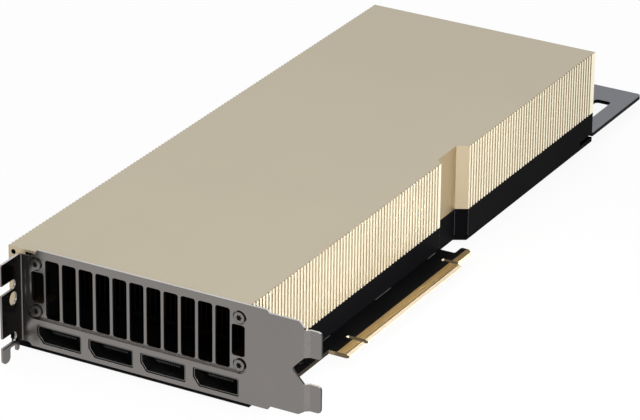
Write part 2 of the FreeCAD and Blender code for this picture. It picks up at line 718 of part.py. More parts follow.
def round_bosses(body, name, places, radius, low, high):
    sketch = new_sketch(body, f"{name}_places", "XY_Plane", low)
    for x, y in places:
        circle(sketch, x, y, radius)
    pad(body, name, sketch, high - low)


def round_holes(body, name, places, radius, low, high):
    sketch = new_sketch(body, f"{name}_places", "XY_Plane", low)
    for x, y in places:
        circle(sketch, x, y, radius)
    pocket(body, name, sketch, high - low)


def make_base_frame():
    body = new_body("base_frame")
    rear = dim.card_length
    face = new_sketch(body, "frame_outline", "XY_Plane", board_under)
    outline(face, wall_line(as_size(0), dim.cover_front, rear)
            + [(rear, dim.card_height), (dim.cover_front, dim.card_height)])
    pad(body, "frame_block", face, dim.seam - board_under)

    inner = new_sketch(body, "board_room_outline", "XY_Plane", board_under)
    outline(inner, [
        (dim.cover_front - dim.frame_wall, 0),
        (board_shoulder, 0),
        (board_shoulder, dim.inset_wall + dim.frame_wall),
        (inset_inside, dim.inset_wall + dim.frame_wall),
        (inset_inside, dim.rear_wall + dim.frame_wall),
        (board_rear + dim.board_margin, dim.rear_wall + dim.frame_wall),
        (board_rear + dim.board_margin, frame_inside_far),
        (dim.cover_front - dim.frame_wall, frame_inside_far),
    ])
    pocket(body, "board_room", inner, -board_under)
    neck_start = board_rear + dim.board_margin
    box_cut(body, "neck_room", board_under, as_size(0), neck_start,
            dim.rear_wall - dim.frame_wall, rear + dim.frame_wall,
            dim.card_height + dim.frame_wall)

    deck_start = rear - dim.rear_deck
    room(body, "upper_room", dim.frame_wall, dim.floor_high, dim.seam,
         dim.front_deck, deck_start, frame_inside_far)
    room(body, "lower_room", dim.frame_wall, as_size(0), dim.floor_low,
         dim.front_deck, rear_bar_front, frame_inside_far)
    box_cut(body, "under_deck_room", dim.floor_high, dim.deck_low, deck_start - dim.frame_wall,
            dim.rear_wall + dim.frame_wall, rear_bar_front, frame_inside_far)
    box_cut(body, "port_room", as_size(0), dim.deck_low, dim.cover_front - dim.frame_wall,
            dim.front_wall + dim.frame_wall, dim.front_deck - dim.frame_wall, frame_inside_far)

    box_cut(body, "panel_room", dim.panel_low - dim.panel_draw - dim.face_clearance, dim.seam,
            dim.cover_front - dim.frame_wall, panel_near, ear_front, panel_far)

    round_bosses(body, "cover_bosses", post_places()[:2], dim.post_radius,
                 as_size(0), dim.seam)
    round_bosses(body, "studs", backplate_screw_places(), dim.stud_radius,
                 as_size(0), dim.floor_high)

    half = dim.core_window / 2
    box_cut(body, "core_window_cut", dim.floor_low, dim.floor_high, dim.core_place - half,
            dim.core_height - half, dim.core_place + half, dim.core_height + half)
    reach = dim.coil_pitch * dim.coil_count / 2
    half = dim.coil_width / 2 + dim.coil_clearance
    for column in (0, 1):
        middle = dim.coil_column + dim.column_pitch * column
        box_cut(body, f"coil_window_{column + 1}", dim.floor_low, dim.floor_high, middle - half,
                dim.core_height - reach, middle + half, dim.core_height + reach)
    box_cut(body, "socket_room", as_size(0), dim.deck_low, deck_start - dim.socket_clearance,
            socket_low - dim.socket_clearance, rear + dim.frame_wall,
            socket_high + dim.socket_clearance)

    clear = dim.long_screw_radius + dim.screw_clearance
    thread = dim.small_screw_radius + dim.screw_gap
    round_holes(body, "cover_screw_holes", post_places(), clear, as_size(0), dim.seam)
    round_holes(body, "stud_threads", backplate_screw_places(), thread, as_size(0),
                dim.floor_high - dim.screw_clearance)
    round_holes(body, "extender_threads", extender_screw_places(), thread, as_size(0),
                dim.extender_screw_length - dim.backplate_low + dim.screw_clearance)
    return body


def make_backplate():
    body = new_body("backplate")
    rear = dim.card_length
    low, top = -dim.backplate_low, board_under
    face = new_sketch(body, "backplate_outline", "XY_Plane", low)
    outline(face, wall_line(as_size(0), dim.backplate_front, rear)
            + [(rear, dim.card_height), (dim.backplate_front, dim.card_height)])
    pad(body, "plate", face, top - low)
    round_edges(body, "underside_bevel", dim.backplate_bevel,
                lambda edge: all(abs(end.Z - low.value) < 1e-4 for end in edge.Vertexes),
                "PartDesign::Chamfer")
    room(body, "underboard_room", dim.backplate_rim, low + dim.backplate_skin, top,
         dim.backplate_front + dim.backplate_rim, rear - dim.extender_neck - dim.backplate_rim,
         dim.card_height - dim.backplate_rim)
    places = post_places()[:2] + backplate_screw_places()
    round_bosses(body, "bosses", places, dim.post_radius, low + dim.backplate_skin, top)
    small = dim.small_screw_radius + dim.screw_clearance
    large = dim.long_screw_radius + dim.screw_clearance
    round_holes(body, "long_holes", post_places(), large, low, top)
    round_holes(body, "small_holes", backplate_screw_places() + extender_screw_places(),
                small, low, top)
    seats = post_places() + backplate_screw_places() + extender_screw_places()
    round_holes(body, "head_seats", seats, dim.sunk_head_radius + dim.screw_gap,
                low, low + dim.sunk_head_height)
    return body


# ---------------------------------------------------------------------------------------------
# Board and its contacts
# ---------------------------------------------------------------------------------------------


def make_circuit_board():
    body = new_body("circuit_board")
    hook_slant = dim.key_width * 0.9
    face = new_sketch(body, "board_outline", "XY_Plane", board_under)
    outline(face, [
        (dim.board_front, dim.board_low), (tab_front, dim.board_low), (tab_front, 0),
        (tab_finish, 0), (tab_finish, dim.hook_low),
        (dim.hook_tip - hook_slant, dim.hook_low, dim.hook_round),
        (dim.hook_tip, dim.hook_low + hook_slant, dim.hook_round),
        (dim.hook_tip, dim.hook_high, dim.hook_round),
        (board_shoulder - dim.board_margin, dim.hook_high, dim.hook_round),
        (board_shoulder - dim.board_margin, dim.inset_wall + dim.frame_wall + dim.board_margin),
        (inset_inside + dim.board_margin,
         dim.inset_wall + dim.frame_wall + dim.board_margin),
        (inset_inside + dim.board_margin,
         dim.rear_wall + dim.frame_wall + dim.board_margin),
        (board_rear, dim.rear_wall + dim.frame_wall + dim.board_margin),
        (board_rear, board_top_edge), (dim.board_front, board_top_edge),
    ])
    pad(body, "laminate", face, dim.board_thickness)
    half = dim.key_width / 2
    notches = new_sketch(body, "notch_outlines", "XY_Plane", board_under)
    for middle, depth in ((dim.key_place, dim.key_depth),
                          (tab_finish + half, dim.hook_slot_depth)):
        slot(notches, (middle, depth - half), (middle, -depth), half)
    pocket(body, "notches", notches, dim.board_thickness)

    bevel = new_sketch(body, "bevel_section", "YZ_Plane", tab_front - dim.key_width)
    outline(bevel, [(0, -dim.bevel_depth), (dim.bevel_height, 0), (0, 0)])
    outline(bevel, [(0, board_under + dim.bevel_depth), (0, board_under),
                    (dim.bevel_height, board_under)])
    pocket(body, "finger_bevel", bevel, dim.tab_length + dim.key_width * 1.9)

    holes = new_sketch(body, "board_holes", "XY_Plane", board_under)
    circle(holes, dim.tooling_place, dim.tooling_height, dim.tooling_radius)
    for x, y in post_places()[:2]:
        circle(holes, x, y, dim.long_screw_radius + dim.screw_clearance)
    for x, y in backplate_screw_places():
        circle(holes, x, y, dim.small_screw_radius + dim.screw_clearance)
    for x, y in clamp_places():
        circle(holes, x, y, dim.clamp_screw_radius + dim.screw_clearance)
    pocket(body, "holes", holes, dim.board_thickness)
    return body


def contact_row(body, name, level, start, finish):
    """Gold contacts from start to finish, each its own solid."""
    first = start + dim.finger_lead - dim.finger_width / 2
    sketch = new_sketch(body, f"{name}_first", "XY_Plane", level)
    rectangle(sketch, first, dim.bevel_height, first + dim.finger_width, dim.finger_top)
    contact = pad(body, name, sketch, dim.copper)
    count = ((finish - start - dim.finger_lead * 2) / dim.finger_pitch + 1).whole()
    repeat(body, f"{name}_row", contact, "X_Axis", dim.finger_pitch, count)


def make_edge_contacts(label, level):
    body = new_body(label)
    body.AllowCompound = True
    contact_row(body, "short_row", level, tab_front, dim.key_place - dim.key_width / 2)
    contact_row(body, "long_row", level, dim.key_place + dim.key_width / 2, tab_finish)
    return body


def pads_body(label, places, level, length, width, height, corner=None):
    """Alike rectangular pieces standing at the places, each its own solid."""
    body = new_body(label)
    body.AllowCompound = True
    sketch = new_sketch(body, f"{label}_places", "XY_Plane", level)
    for x, y in places:
        rectangle(sketch, x - length / 2, y - width / 2, x + length / 2, y + width / 2, corner)
    pad(body, f"{label}_blocks", sketch, height)
    return body


def make_ground_strips():
    body = new_body("ground_strips")
    body.AllowCompound = True
    sketch = new_sketch(body, "strip_places", "XY_Plane", 0)
    spans = [(dim.strip_front, dim.strip_front + dim.strip_length),
             (dim.strip_middle - dim.strip_length / 2, dim.strip_middle + dim.strip_length / 2),
             (dim.strip_rear - dim.strip_length / 2, dim.strip_rear)]
    for front, rear in spans:
        rectangle(sketch, front, dim.front_wall - dim.strip_width, rear, dim.front_wall)
    pad(body, "strips", sketch, dim.copper)
    return body


# ---------------------------------------------------------------------------------------------
# I/O bracket
# ---------------------------------------------------------------------------------------------


def make_io_bracket():
    body = new_body("io_bracket")
    plate = new_sketch(body, "plate_outline", "YZ_Plane", 0)
    far = dim.flange_face + dim.bracket_sheet
    relief = dim.shoulder_step * 0.9
    step = dim.shoulder_step
    upper_tongue = dim.tongue_middle + dim.slot_pitch
    half = dim.tongue_width / 2
    apex = (dim.tongue_middle * 2 + dim.slot_pitch) / 2
    outline(plate, [
        (far, dim.flange_high), (dim.flange_relief_start, dim.flange_high),
        (dim.flange_relief_start - dim.flange_relief_run, dim.flange_high + relief),
        (dim.flange_relief_finish, dim.bracket_high),
        (dim.bracket_shoulder + step, dim.bracket_high),
        (dim.bracket_shoulder, dim.neck_high),
        (dim.neck_finish, dim.neck_high), (dim.tongue_root, dim.neck_high - step * 1.9),
        (dim.tongue_root, upper_tongue - half),
        (dim.notch_apex, apex + dim.notch_flat / 2), (dim.notch_apex, apex - dim.notch_flat / 2),
        (dim.tongue_root, dim.tongue_middle + half),
        (dim.tongue_root, dim.neck_rise - dim.neck_low),
        (dim.neck_finish, -dim.neck_low), (dim.bracket_shoulder - step * 0.4, -dim.neck_low),
        (dim.bracket_shoulder + step * 0.6, -dim.bracket_low),
        (dim.flange_relief_start, -dim.bracket_low),
        (dim.flange_relief_start + dim.shoulder_step, -dim.flange_low), (far, -dim.flange_low),
    ])
    pad(body, "plate", plate, dim.bracket_sheet)

    add_flange(body)
    add_tongues(body)
    add_panel(body)
    port = new_sketch(body, "port_outline", "YZ_Plane", 0)
    outline(port, port_line(0, as_size(0)))
    opening = pocket(body, "port_opening", port, dim.bracket_sheet)
    repeat(body, "port_openings", opening, "Y_Axis", dim.port_pitch, dim.port_count, True)
    return body


def add_flange(body):
    """The flange outside the chassis wall, with two screw notches, a slot, a tail and a nub."""
    sketch = new_sketch(body, "flange_outline", "XZ_Plane", -dim.flange_face)
    free = -dim.flange_reach
    half = dim.screw_notch_width / 2
    tail_rear = free + dim.tail_width
    nub_left = -(dim.nub_place + dim.nub_width / 2)
    nub_right = -(dim.nub_place - dim.nub_width / 2)
    outline(sketch, [
        (dim.bracket_sheet, dim.flange_high), (free, dim.flange_high, dim.flange_round),
        (free, -dim.tail_low, dim.tail_round), (tail_rear, -dim.tail_low, dim.tail_round),
        (tail_rear, -dim.flange_low, dim.flange_round), (nub_left, -dim.flange_low),
        (nub_left, -dim.nub_low, dim.flange_round), (nub_right, -dim.nub_low, dim.flange_round),
        (nub_right, -dim.flange_low), (dim.bracket_sheet, -dim.flange_low),
    ])
    shift = dim.flange_slot_length / 2 - dim.flange_slot_radius
    slot(sketch, (-dim.flange_slot_place, dim.flange_slot_middle - shift),
         (-dim.flange_slot_place, dim.flange_slot_middle + shift), dim.flange_slot_radius)
    pad(body, "flange", sketch, -dim.bracket_sheet)
    notch = new_sketch(body, "screw_notch_outline", "XZ_Plane", -dim.flange_face)
    slot(notch, (half - dim.screw_notch_reach, dim.screw_notch_middle),
         (free - dim.flange_reach, dim.screw_notch_middle), half)
    opening = pocket(body, "screw_notch", notch, -dim.bracket_sheet)
    repeat(body, "screw_notches", opening, "Z_Axis", dim.slot_pitch, as_size(2))
    for name, x, y, radius in (
            ("bend_inside", 0, dim.flange_face, dim.bend_radius),
            ("bend_outside", dim.bracket_sheet.value, dim.flange_face + dim.bracket_sheet,
             dim.bend_radius + dim.bracket_sheet)):
        round_edges(body, name, radius, lambda edge: all(
            abs(end.X - x) < 1e-4 and abs(end.Y - y.value) < 1e-4 for end in edge.Vertexes))


def add_tongues(body):
    """Two tongues with joggled ends, which stand in the chassis."""
    low = dim.tongue_middle - dim.tongue_width / 2
    sheet_back = dim.bracket_sheet
    sketch = new_sketch(body, "tongue_section", "XY_Plane", low)
    root, bend, end = dim.tongue_root, dim.tongue_bend, dim.tongue_finish
    joggle = dim.tongue_joggle
    overlap = root + dim.bracket_sheet
    outline(sketch, [
        (0, overlap), (0, root), (joggle, bend), (joggle, end),
        (joggle + sheet_back, end), (joggle + sheet_back, bend + sheet_back * 0.3),
        (sheet_back, root + sheet_back * 0.3), (sheet_back, overlap),
    ])
    pad(body, "tongue", sketch, dim.tongue_width)
    corners = new_sketch(body, "tongue_corners", "YZ_Plane", 0)
    turn = dim.tongue_round
    far = end - turn
    for edge, way in ((low, 1), (low + dim.tongue_width, -1)):
        outline(corners, [(end, edge + turn * way), (end + turn * 0.3, edge + turn * 0.3 * way),
                          (end + turn, edge), (end + turn, edge - turn * way),
                          (far, edge - turn * way), (far, edge + turn * way)])
    pocket(body, "corner_cut", corners, joggle + sheet_back * 2)
    features = [body.getObject("tongue"), body.getObject("corner_cut")]
    repeat(body, "tongues", features, "Z_Axis", dim.slot_pitch, as_size(2))


def add_panel(body):
    """The pressed panel with its vents, small slots and screw seats."""
    left = dim.panel_middle - dim.panel_length / 2
    right = dim.panel_middle + dim.panel_length / 2
    draw = dim.panel_draw
    back = new_sketch(body, "panel_back_outline", "YZ_Plane", 0)
    rectangle(back, left - draw, dim.panel_low - draw, right + draw, dim.panel_high + draw,
              dim.panel_corner + draw)
    pad(body, "panel_back", back, panel_back)
    front = new_sketch(body, "panel_outline", "YZ_Plane", 0)
    rectangle(front, left, dim.panel_low, right, dim.panel_high, dim.panel_corner)
    pocket(body, "panel_face", front, dim.panel_depth)

    vent = new_sketch(body, "vent_outline", "YZ_Plane", dim.panel_depth)
    rectangle(vent, ear_low, dim.vent_low, ear_low + dim.vent_width, dim.vent_high,
              dim.vent_corner)
    opening = pocket(body, "vent", vent, dim.bracket_sheet)
    repeat(body, "vents", opening, "Y_Axis", dim.vent_pitch, dim.vent_count)

    slots = new_sketch(body, "small_slot_outlines", "YZ_Plane", dim.panel_depth)
    half = dim.small_slot_width / 2
    for side in (-1, 1):
        middle = dim.panel_middle + dim.small_slot_place * side
        rectangle(slots, middle - half, dim.small_slot_low, middle + half, dim.small_slot_high,
                  dim.vent_corner)
    pocket(body, "small_slots", slots, dim.bracket_sheet)
    seats = new_sketch(body, "screw_seats", "YZ_Plane", dim.panel_depth)
    holes = new_sketch(body, "screw_holes", "YZ_Plane", dim.panel_depth)
    for y, z in bracket_screw_places():
        circle(seats, y, z, dim.seat_radius)
        circle(holes, y, z, dim.long_screw_radius + dim.screw_clearance)
    pocket(body, "seats", seats, dim.seat_depth)
    pocket(body, "holes", holes, dim.bracket_sheet)


def make_bracket_screws():
    """Four screws with six-lobe drives, one solid each."""
    body = new_body("bracket_screws")
    body.AllowCompound = True
    y = dim.panel_middle - dim.bracket_screw_place
    seat = dim.panel_depth + dim.seat_depth
    for row, z in (("low", dim.bracket_screw_low), ("high", dim.bracket_screw_high)):
        head = new_sketch(body, f"{row}_head_outline", "YZ_Plane", seat)
        circle(head, y, z, dim.bracket_head_radius)
        shaft = new_sketch(body, f"{row}_shaft_outline", "YZ_Plane", seat)
        circle(shaft, y, z, dim.long_screw_radius)
        drive = new_sketch(body, f"{row}_drive", "YZ_Plane", seat - dim.bracket_head_height)
        outline(drive, six_lobe(y, z, dim.drive_radius))
        features = [pad(body, f"{row}_head", head, -dim.bracket_head_height),
                    pad(body, f"{row}_shaft", shaft, dim.bracket_screw_length),
                    pocket(body, f"{row}_recess", drive, dim.drive_depth)]
        repeat(body, f"{row}_pair", features, "Y_Axis", dim.bracket_screw_place * 2, as_size(2))
    return body


def six_lobe(across, up, reach):
    """Corners of a six-lobe drive: twelve points, every second one drawn in."""
    corners = []
    for step in range(12):
        here = reach if step % 2 == 0 else reach * 0.66
        turn = math.radians(30 * step)
        corners.append((across + here * round(math.cos(turn), 6),
                        up + here * round(math.sin(turn), 6)))
    return corners


# ---------------------------------------------------------------------------------------------
# Video ports
# ---------------------------------------------------------------------------------------------


def port_line(index, inwards):
    """The port outline with its slanted corner, moved inwards from the bracket's opening."""
    near = dim.port_side - dim.port_pitch * index
    far = near + dim.port_width
    slant = inwards * 0.45
    turn = dim.port_corner
    return [
        (near + inwards, dim.port_low + inwards, turn),
        (far - dim.port_slant - slant, dim.port_low + inwards, turn),
        (far - inwards, dim.port_low + dim.port_slant_height + slant, turn),
        (far - inwards, dim.port_high - inwards, turn),
        (near + inwards, dim.port_high - inwards, turn),
    ]


def make_port_shell(index):
    """Pressed metal shell with a foot that stands on the board."""
    body = new_body(f"video_port_shell_{index + 1}")
    outer = new_sketch(body, "shell_outline", "YZ_Plane", dim.port_mouth)
    outline(outer, port_line(index, dim.port_gap))
    pad(body, "shell", outer, dim.port_rear - dim.port_mouth)
    inner = new_sketch(body, "inside_outline", "YZ_Plane", dim.port_mouth)
    outline(inner, port_line(index, dim.port_gap + dim.port_sheet))
    pocket(body, "inside", inner, dim.port_rear - dim.port_mouth - dim.port_sheet)
    near = dim.port_side - dim.port_pitch * index + dim.port_slant
    far = near + dim.port_width - dim.port_slant * 3
    box_cut(body, "latch_slots", dim.port_high - dim.port_slant, dim.port_high, dim.latch_front,
            near, dim.latch_front + dim.latch_length, near + dim.latch_width)
    box_cut(body, "second_latch_slot", dim.port_high - dim.port_slant, dim.port_high,
            dim.latch_front, far - dim.latch_width, dim.latch_front + dim.latch_length, far)
    box_cut(body, "seam_gap", as_size(0), dim.blade_low - dim.port_corner, dim.port_mouth,
            near + dim.seam_place, dim.port_rear - dim.port_slant * 2,
            near + dim.seam_place + dim.seam_gap)
    foot = new_sketch(body, "foot_outline", "XY_Plane", 0)
    rectangle(foot, dim.latch_front, near, dim.port_rear - dim.port_slant, far)
    pad(body, "foot", foot, dim.port_low + dim.port_gap)
    return body


def make_port_insert(index):
    """Moulded insert with the contact blade in the port's well."""
    body = new_body(f"video_port_insert_{index + 1}")
    inside = dim.port_gap + dim.port_sheet + dim.screw_gap
    block_face = new_sketch(body, "insert_outline", "YZ_Plane", dim.port_well)
    outline(block_face, port_line(index, inside))
    pad(body, "insert", block_face,
        dim.port_rear - dim.port_well - dim.port_sheet - dim.screw_gap)
    middle = dim.port_side - dim.port_pitch * index + dim.port_width / 2
    blade = new_sketch(body, "blade_outline", "YZ_Plane", dim.blade_front)
    rectangle(blade, middle - dim.blade_length / 2, dim.blade_low,
              middle + dim.blade_length / 2, dim.blade_low + dim.blade_thickness)
    pad(body, "blade", blade, dim.port_well - dim.blade_front)
    return body


# ---------------------------------------------------------------------------------------------
# Heat sink and processor
# ---------------------------------------------------------------------------------------------


def make_vapour_chamber():
    body = new_body("vapour_chamber")
    plate = new_sketch(body, "chamber_outline", "XY_Plane", dim.chamber_low)
    rectangle(plate, dim.sink_front, sink_low, sink_rear, sink_high)
    pad(body, "chamber", plate, dim.chamber_thickness)
    low = dim.package_thickness + dim.die_thickness + dim.paste_thickness
    pedestal = new_sketch(body, "pedestal_outline", "XY_Plane", low)
    half = dim.package_width / 2 - dim.stiffener_width
    rectangle(pedestal, dim.core_place - half, dim.core_height - half,
              dim.core_place + half, dim.core_height + half)
    pad(body, "pedestal", pedestal, dim.chamber_low - low)
    round_bosses(body, "legs", clamp_places(), dim.leg_radius, as_size(0), dim.chamber_low)
    round_holes(body, "leg_threads", clamp_places(), dim.clamp_screw_radius + dim.screw_gap,
                as_size(0), dim.chamber_low)
    return body


def make_fin_stack():
    body = new_body("fin_stack")
    feet = new_sketch(body, "feet_outline", "XY_Plane", chamber_high)
    rectangle(feet, dim.sink_front, sink_low, sink_rear, sink_high)
    pad(body, "feet", feet, dim.fin_skin)
    first = new_sketch(body, "first_fin", "XY_Plane", chamber_high)
    rectangle(first, dim.sink_front, sink_low, sink_rear, sink_low + dim.fin_thickness)
    fin = pad(body, "fin", first, dim.fin_top - chamber_high)
    count = ((sink_high - sink_low - dim.fin_thickness) / dim.fin_pitch + 1).whole()
    repeat(body, "fins", fin, "Y_Axis", dim.fin_pitch, count)
    return body


def make_stiffener():
    body = new_body("package_stiffener")
    ring = new_sketch(body, "ring_outline", "XY_Plane", dim.package_thickness)
    for half in (dim.package_width / 2 - dim.screw_gap,
                 dim.package_width / 2 - dim.stiffener_width):
        rectangle(ring, dim.core_place - half, dim.core_height - half,
                  dim.core_place + half, dim.core_height + half)
    pad(body, "ring", ring, dim.die_thickness)
    return body


def make_clamp_plate():
    body = new_body("clamp_plate")
    top = board_under
    plate = new_sketch(body, "clamp_outline", "XY_Plane", top - dim.clamp_thickness)
    outer = dim.clamp_spacing / 2 + dim.clamp_margin
    inner = dim.clamp_spacing / 2 - dim.clamp_margin
    for half in (outer, inner):
        rectangle(plate, dim.core_place - half, dim.core_height - half,
                  dim.core_place + half, dim.core_height + half)
    pad(body, "plate", plate, dim.clamp_thickness)
    round_holes(body, "holes", clamp_places(), dim.clamp_screw_radius + dim.screw_clearance,
                top - dim.clamp_thickness, top)
    return body


def screw_group(label, places, face, head_radius, head_height, radius, length):
    """Screws driven upwards from a face, one solid each."""
    body = new_body(label)
    body.AllowCompound = True
    round_bosses(body, "heads", places, head_radius, face, face + head_height)
    round_bosses(body, "shafts", places, radius, face, face + length)
    return body


# ---------------------------------------------------------------------------------------------
# Power socket and extender
# ---------------------------------------------------------------------------------------------


def pin_places():
    """Middles of the power pins in Y and Z, two rows of six."""
    rows = (dim.socket_height * 0.3, dim.socket_height * 0.7)
    return [(dim.socket_middle + dim.pin_pitch * step, z)
            for z in rows for step in (-2.5, -1.5, -0.5, 0.5, 1.5, 2.5)]


def make_power_socket():
    body = new_body("power_socket")
    front = socket_rear - dim.socket_length
    outer = new_sketch(body, "socket_outline", "YZ_Plane", front)
    rectangle(outer, socket_low, 0, socket_high, dim.socket_height, dim.port_corner)
    pad(body, "housing", outer, dim.socket_length)
    well = new_sketch(body, "well_outline", "YZ_Plane", socket_rear - dim.socket_well)
    rectangle(well, socket_low + dim.socket_wall, dim.socket_wall,
              socket_high - dim.socket_wall, dim.socket_height - dim.socket_wall,
              dim.port_corner)
    pocket(body, "well", well, dim.socket_well)
    holes = new_sketch(body, "pin_holes", "YZ_Plane", front)
    half = dim.pin_width / 2 + dim.screw_gap
    for y, z in pin_places():
        rectangle(holes, y - half, z - half, y + half, z + half)
    pocket(body, "pin_hole", holes, dim.socket_length)
    return body


def make_power_pins():
    """Twelve bent pins, one solid each."""
    body = new_body("power_pins")
    body.AllowCompound = True
    half = dim.pin_width / 2
    front = socket_rear - dim.socket_length
    tip = socket_rear - dim.socket_well + dim.pin_reach
    for name, row, lead in (("low_row", 0.3, 1.0), ("high_row", 0.7, 2.1)):
        height = dim.socket_height * row
        y = dim.socket_middle - dim.pin_pitch * 2.5
        section = new_sketch(body, f"{name}_bend", "XZ_Plane", half - y)
        leg = front - lead
        outline(section, [
            (leg - half, 0), (leg + half, 0), (leg + half, height - half),
            (tip, height - half), (tip, height + half), (leg - half, height + half),
        ])
        pin = pad(body, name, section, -dim.pin_width)
        repeat(body, f"{name}_pins", pin, "Y_Axis", dim.pin_pitch, as_size(6))
    return body


def make_extender():
    body = new_body("extender_bracket")
    rear = dim.extender_rear
    wide = dim.card_length + dim.extender_gap
    neck = dim.card_length - dim.extender_neck
    near, far = dim.rear_wall, dim.card_height
    turn = dim.extender_corner
    plate = new_sketch(body, "extender_outline", "XY_Plane", -dim.extender_thickness)
    outline(plate, [
        (neck, near + dim.extender_step), (wide, near + dim.extender_step),
        (wide, near, dim.port_corner), (rear, near, turn), (rear, far, turn),
        (wide, far, dim.port_corner), (wide, far - dim.extender_step),
        (neck, far - dim.extender_step),
    ])
    pad(body, "plate", plate, dim.extender_thickness)
    windows = new_sketch(body, "window_outlines", "XY_Plane", -dim.extender_thickness)
    front = dim.card_length + dim.window_front
    for side in (near + dim.window_side, far - dim.window_side - dim.window_width):
        rectangle(windows, front, side, rear - dim.window_rear, side + dim.window_width,
                  dim.window_corner)
    pocket(body, "windows", windows, dim.extender_thickness)
    middle = (near + far) / 2
    holes = new_sketch(body, "fixing_holes", "XY_Plane", -dim.extender_thickness)
    for side in (-1, 1):
        circle(holes, rear - dim.extender_hole_inset,
               middle + dim.extender_hole_spacing / 2 * side, dim.extender_hole_radius)
    for x, y in post_places()[2:]:
        circle(holes, x, y, dim.long_screw_radius + dim.screw_clearance)
    for x, y in extender_screw_places():
        circle(holes, x, y, dim.small_screw_radius + dim.screw_clearance)
    pocket(body, "holes", holes, dim.extender_thickness)
    return body


# ---------------------------------------------------------------------------------------------
# All sub-parts
# ---------------------------------------------------------------------------------------------

column_length = dim.coil_pitch * (dim.coil_count - 1) + dim.coil_width
seal_middles = [(dim.sink_front + dim.seal_width / 2, (sink_low + sink_high) / 2),
                (sink_rear - dim.seal_width / 2, (sink_low + sink_high) / 2)]
package_middle = [(dim.core_place, dim.core_height)]
under_pads = dim.backplate_low - dim.backplate_skin - dim.board_thickness - dim.memory_thickness
paste_low = dim.package_thickness + dim.die_thickness

parts = [
    make_cover(), make_base_frame(), make_backplate(), make_circuit_board(),
    make_edge_contacts("edge_contacts_top", as_size(0)),
    make_edge_contacts("edge_contacts_bottom", board_under - dim.copper),
    make_ground_strips(), make_io_bracket(), make_bracket_screws(),
]
for number in range(int(dim.port_count.value)):
    parts += [make_port_shell(number), make_port_insert(number)]
parts += [
    make_vapour_chamber(), make_fin_stack(), make_stiffener(), make_clamp_plate(),
    make_power_socket(), make_power_pins(), make_extender(),
    pads_body("foam_seals", seal_middles, dim.fin_top, dim.seal_width,
              sink_high - sink_low, dim.cover_top - dim.cover_roof - dim.fin_top),
    pads_body("processor_package", package_middle, as_size(0), dim.package_width,
              dim.package_width, dim.package_thickness),
    pads_body("processor_die", package_middle, dim.package_thickness, dim.die_length,
              dim.die_width, dim.die_thickness),
    pads_body("thermal_paste", package_middle, paste_low, dim.die_length, dim.die_width,
              dim.paste_thickness),
    pads_body("memory_chips_top", memory_places(), as_size(0), dim.memory_length,
              dim.memory_width, dim.memory_thickness),
    pads_body("memory_chips_bottom", memory_places(), board_under - dim.memory_thickness,
              dim.memory_length, dim.memory_width, dim.memory_thickness),
    pads_body("memory_pads_top", memory_places(), dim.memory_thickness, dim.memory_length,
              dim.memory_width, dim.floor_low - dim.memory_thickness),
    pads_body("memory_pads_bottom", memory_places(), dim.backplate_skin - dim.backplate_low,
              dim.memory_length, dim.memory_width, under_pads),
    pads_body("inductors", coil_places(), as_size(0), dim.coil_width, dim.coil_width,
              dim.coil_height),
    pads_body("inductor_pads", coil_middles, dim.coil_height, dim.coil_width, column_length,
              dim.chamber_low - dim.coil_height),
    pads_body("power_stages", [(x + dim.stage_offset, y) for x, y in coil_places()],
              as_size(0), dim.stage_width, dim.stage_width, dim.stage_height),
    pads_body("power_stage_pads", [(x + dim.stage_offset, y) for x, y in coil_middles],
              dim.stage_height, dim.stage_width, column_length,
              dim.floor_low - dim.stage_height),
    pads_body("capacitors", [(x - dim.capacitor_offset, y) for x, y in coil_places()],
              as_size(0), dim.capacitor_width, dim.capacitor_length, dim.capacitor_height),
    pads_body("controller_chips", [(dim.controller_place, dim.core_height - dim.memory_pitch),
                                   (dim.controller_place, dim.core_height + dim.memory_pitch)],
              as_size(0), dim.controller_width, dim.controller_width, dim.memory_thickness),
    screw_group("cover_screws", post_places(), -dim.backplate_low, dim.sunk_head_radius,
                dim.sunk_head_height - dim.screw_gap, dim.long_screw_radius,
                dim.backplate_low + dim.seam + dim.long_screw_reach),
    screw_group("backplate_screws", backplate_screw_places(), -dim.backplate_low,
                dim.sunk_head_radius, dim.sunk_head_height - dim.screw_gap,
                dim.small_screw_radius, dim.small_screw_length),
    screw_group("extender_screws", extender_screw_places(), -dim.backplate_low,
                dim.sunk_head_radius, dim.sunk_head_height - dim.screw_gap,
                dim.small_screw_radius, dim.extender_screw_length),
    screw_group("clamp_screws", clamp_places(),
                board_under - dim.clamp_thickness - dim.clamp_head_height,
                dim.clamp_head_radius, dim.clamp_head_height, dim.clamp_screw_radius,
                dim.chamber_low + dim.clamp_thickness),
]


doc.recompute()
for item in doc.Objects:
    if "Invalid" in item.State or "Error" in item.State:
        raise RuntimeError(f"{item.Name}: {item.State}")
os.makedirs("parts", exist_ok=True)
for part in parts:
    if part.Shape.isNull() or not part.Shape.isValid():
        raise RuntimeError(f"{part.Label} has no valid shape")
    part.Shape.exportStep(f"parts/{part.Label}.step")
    print(part.Label, len(part.Shape.Solids), round(part.Shape.Volume, 1), part.Shape.BoundBox)
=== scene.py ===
import math

import bmesh
import bpy
from mathutils import Euler, Matrix, Vector


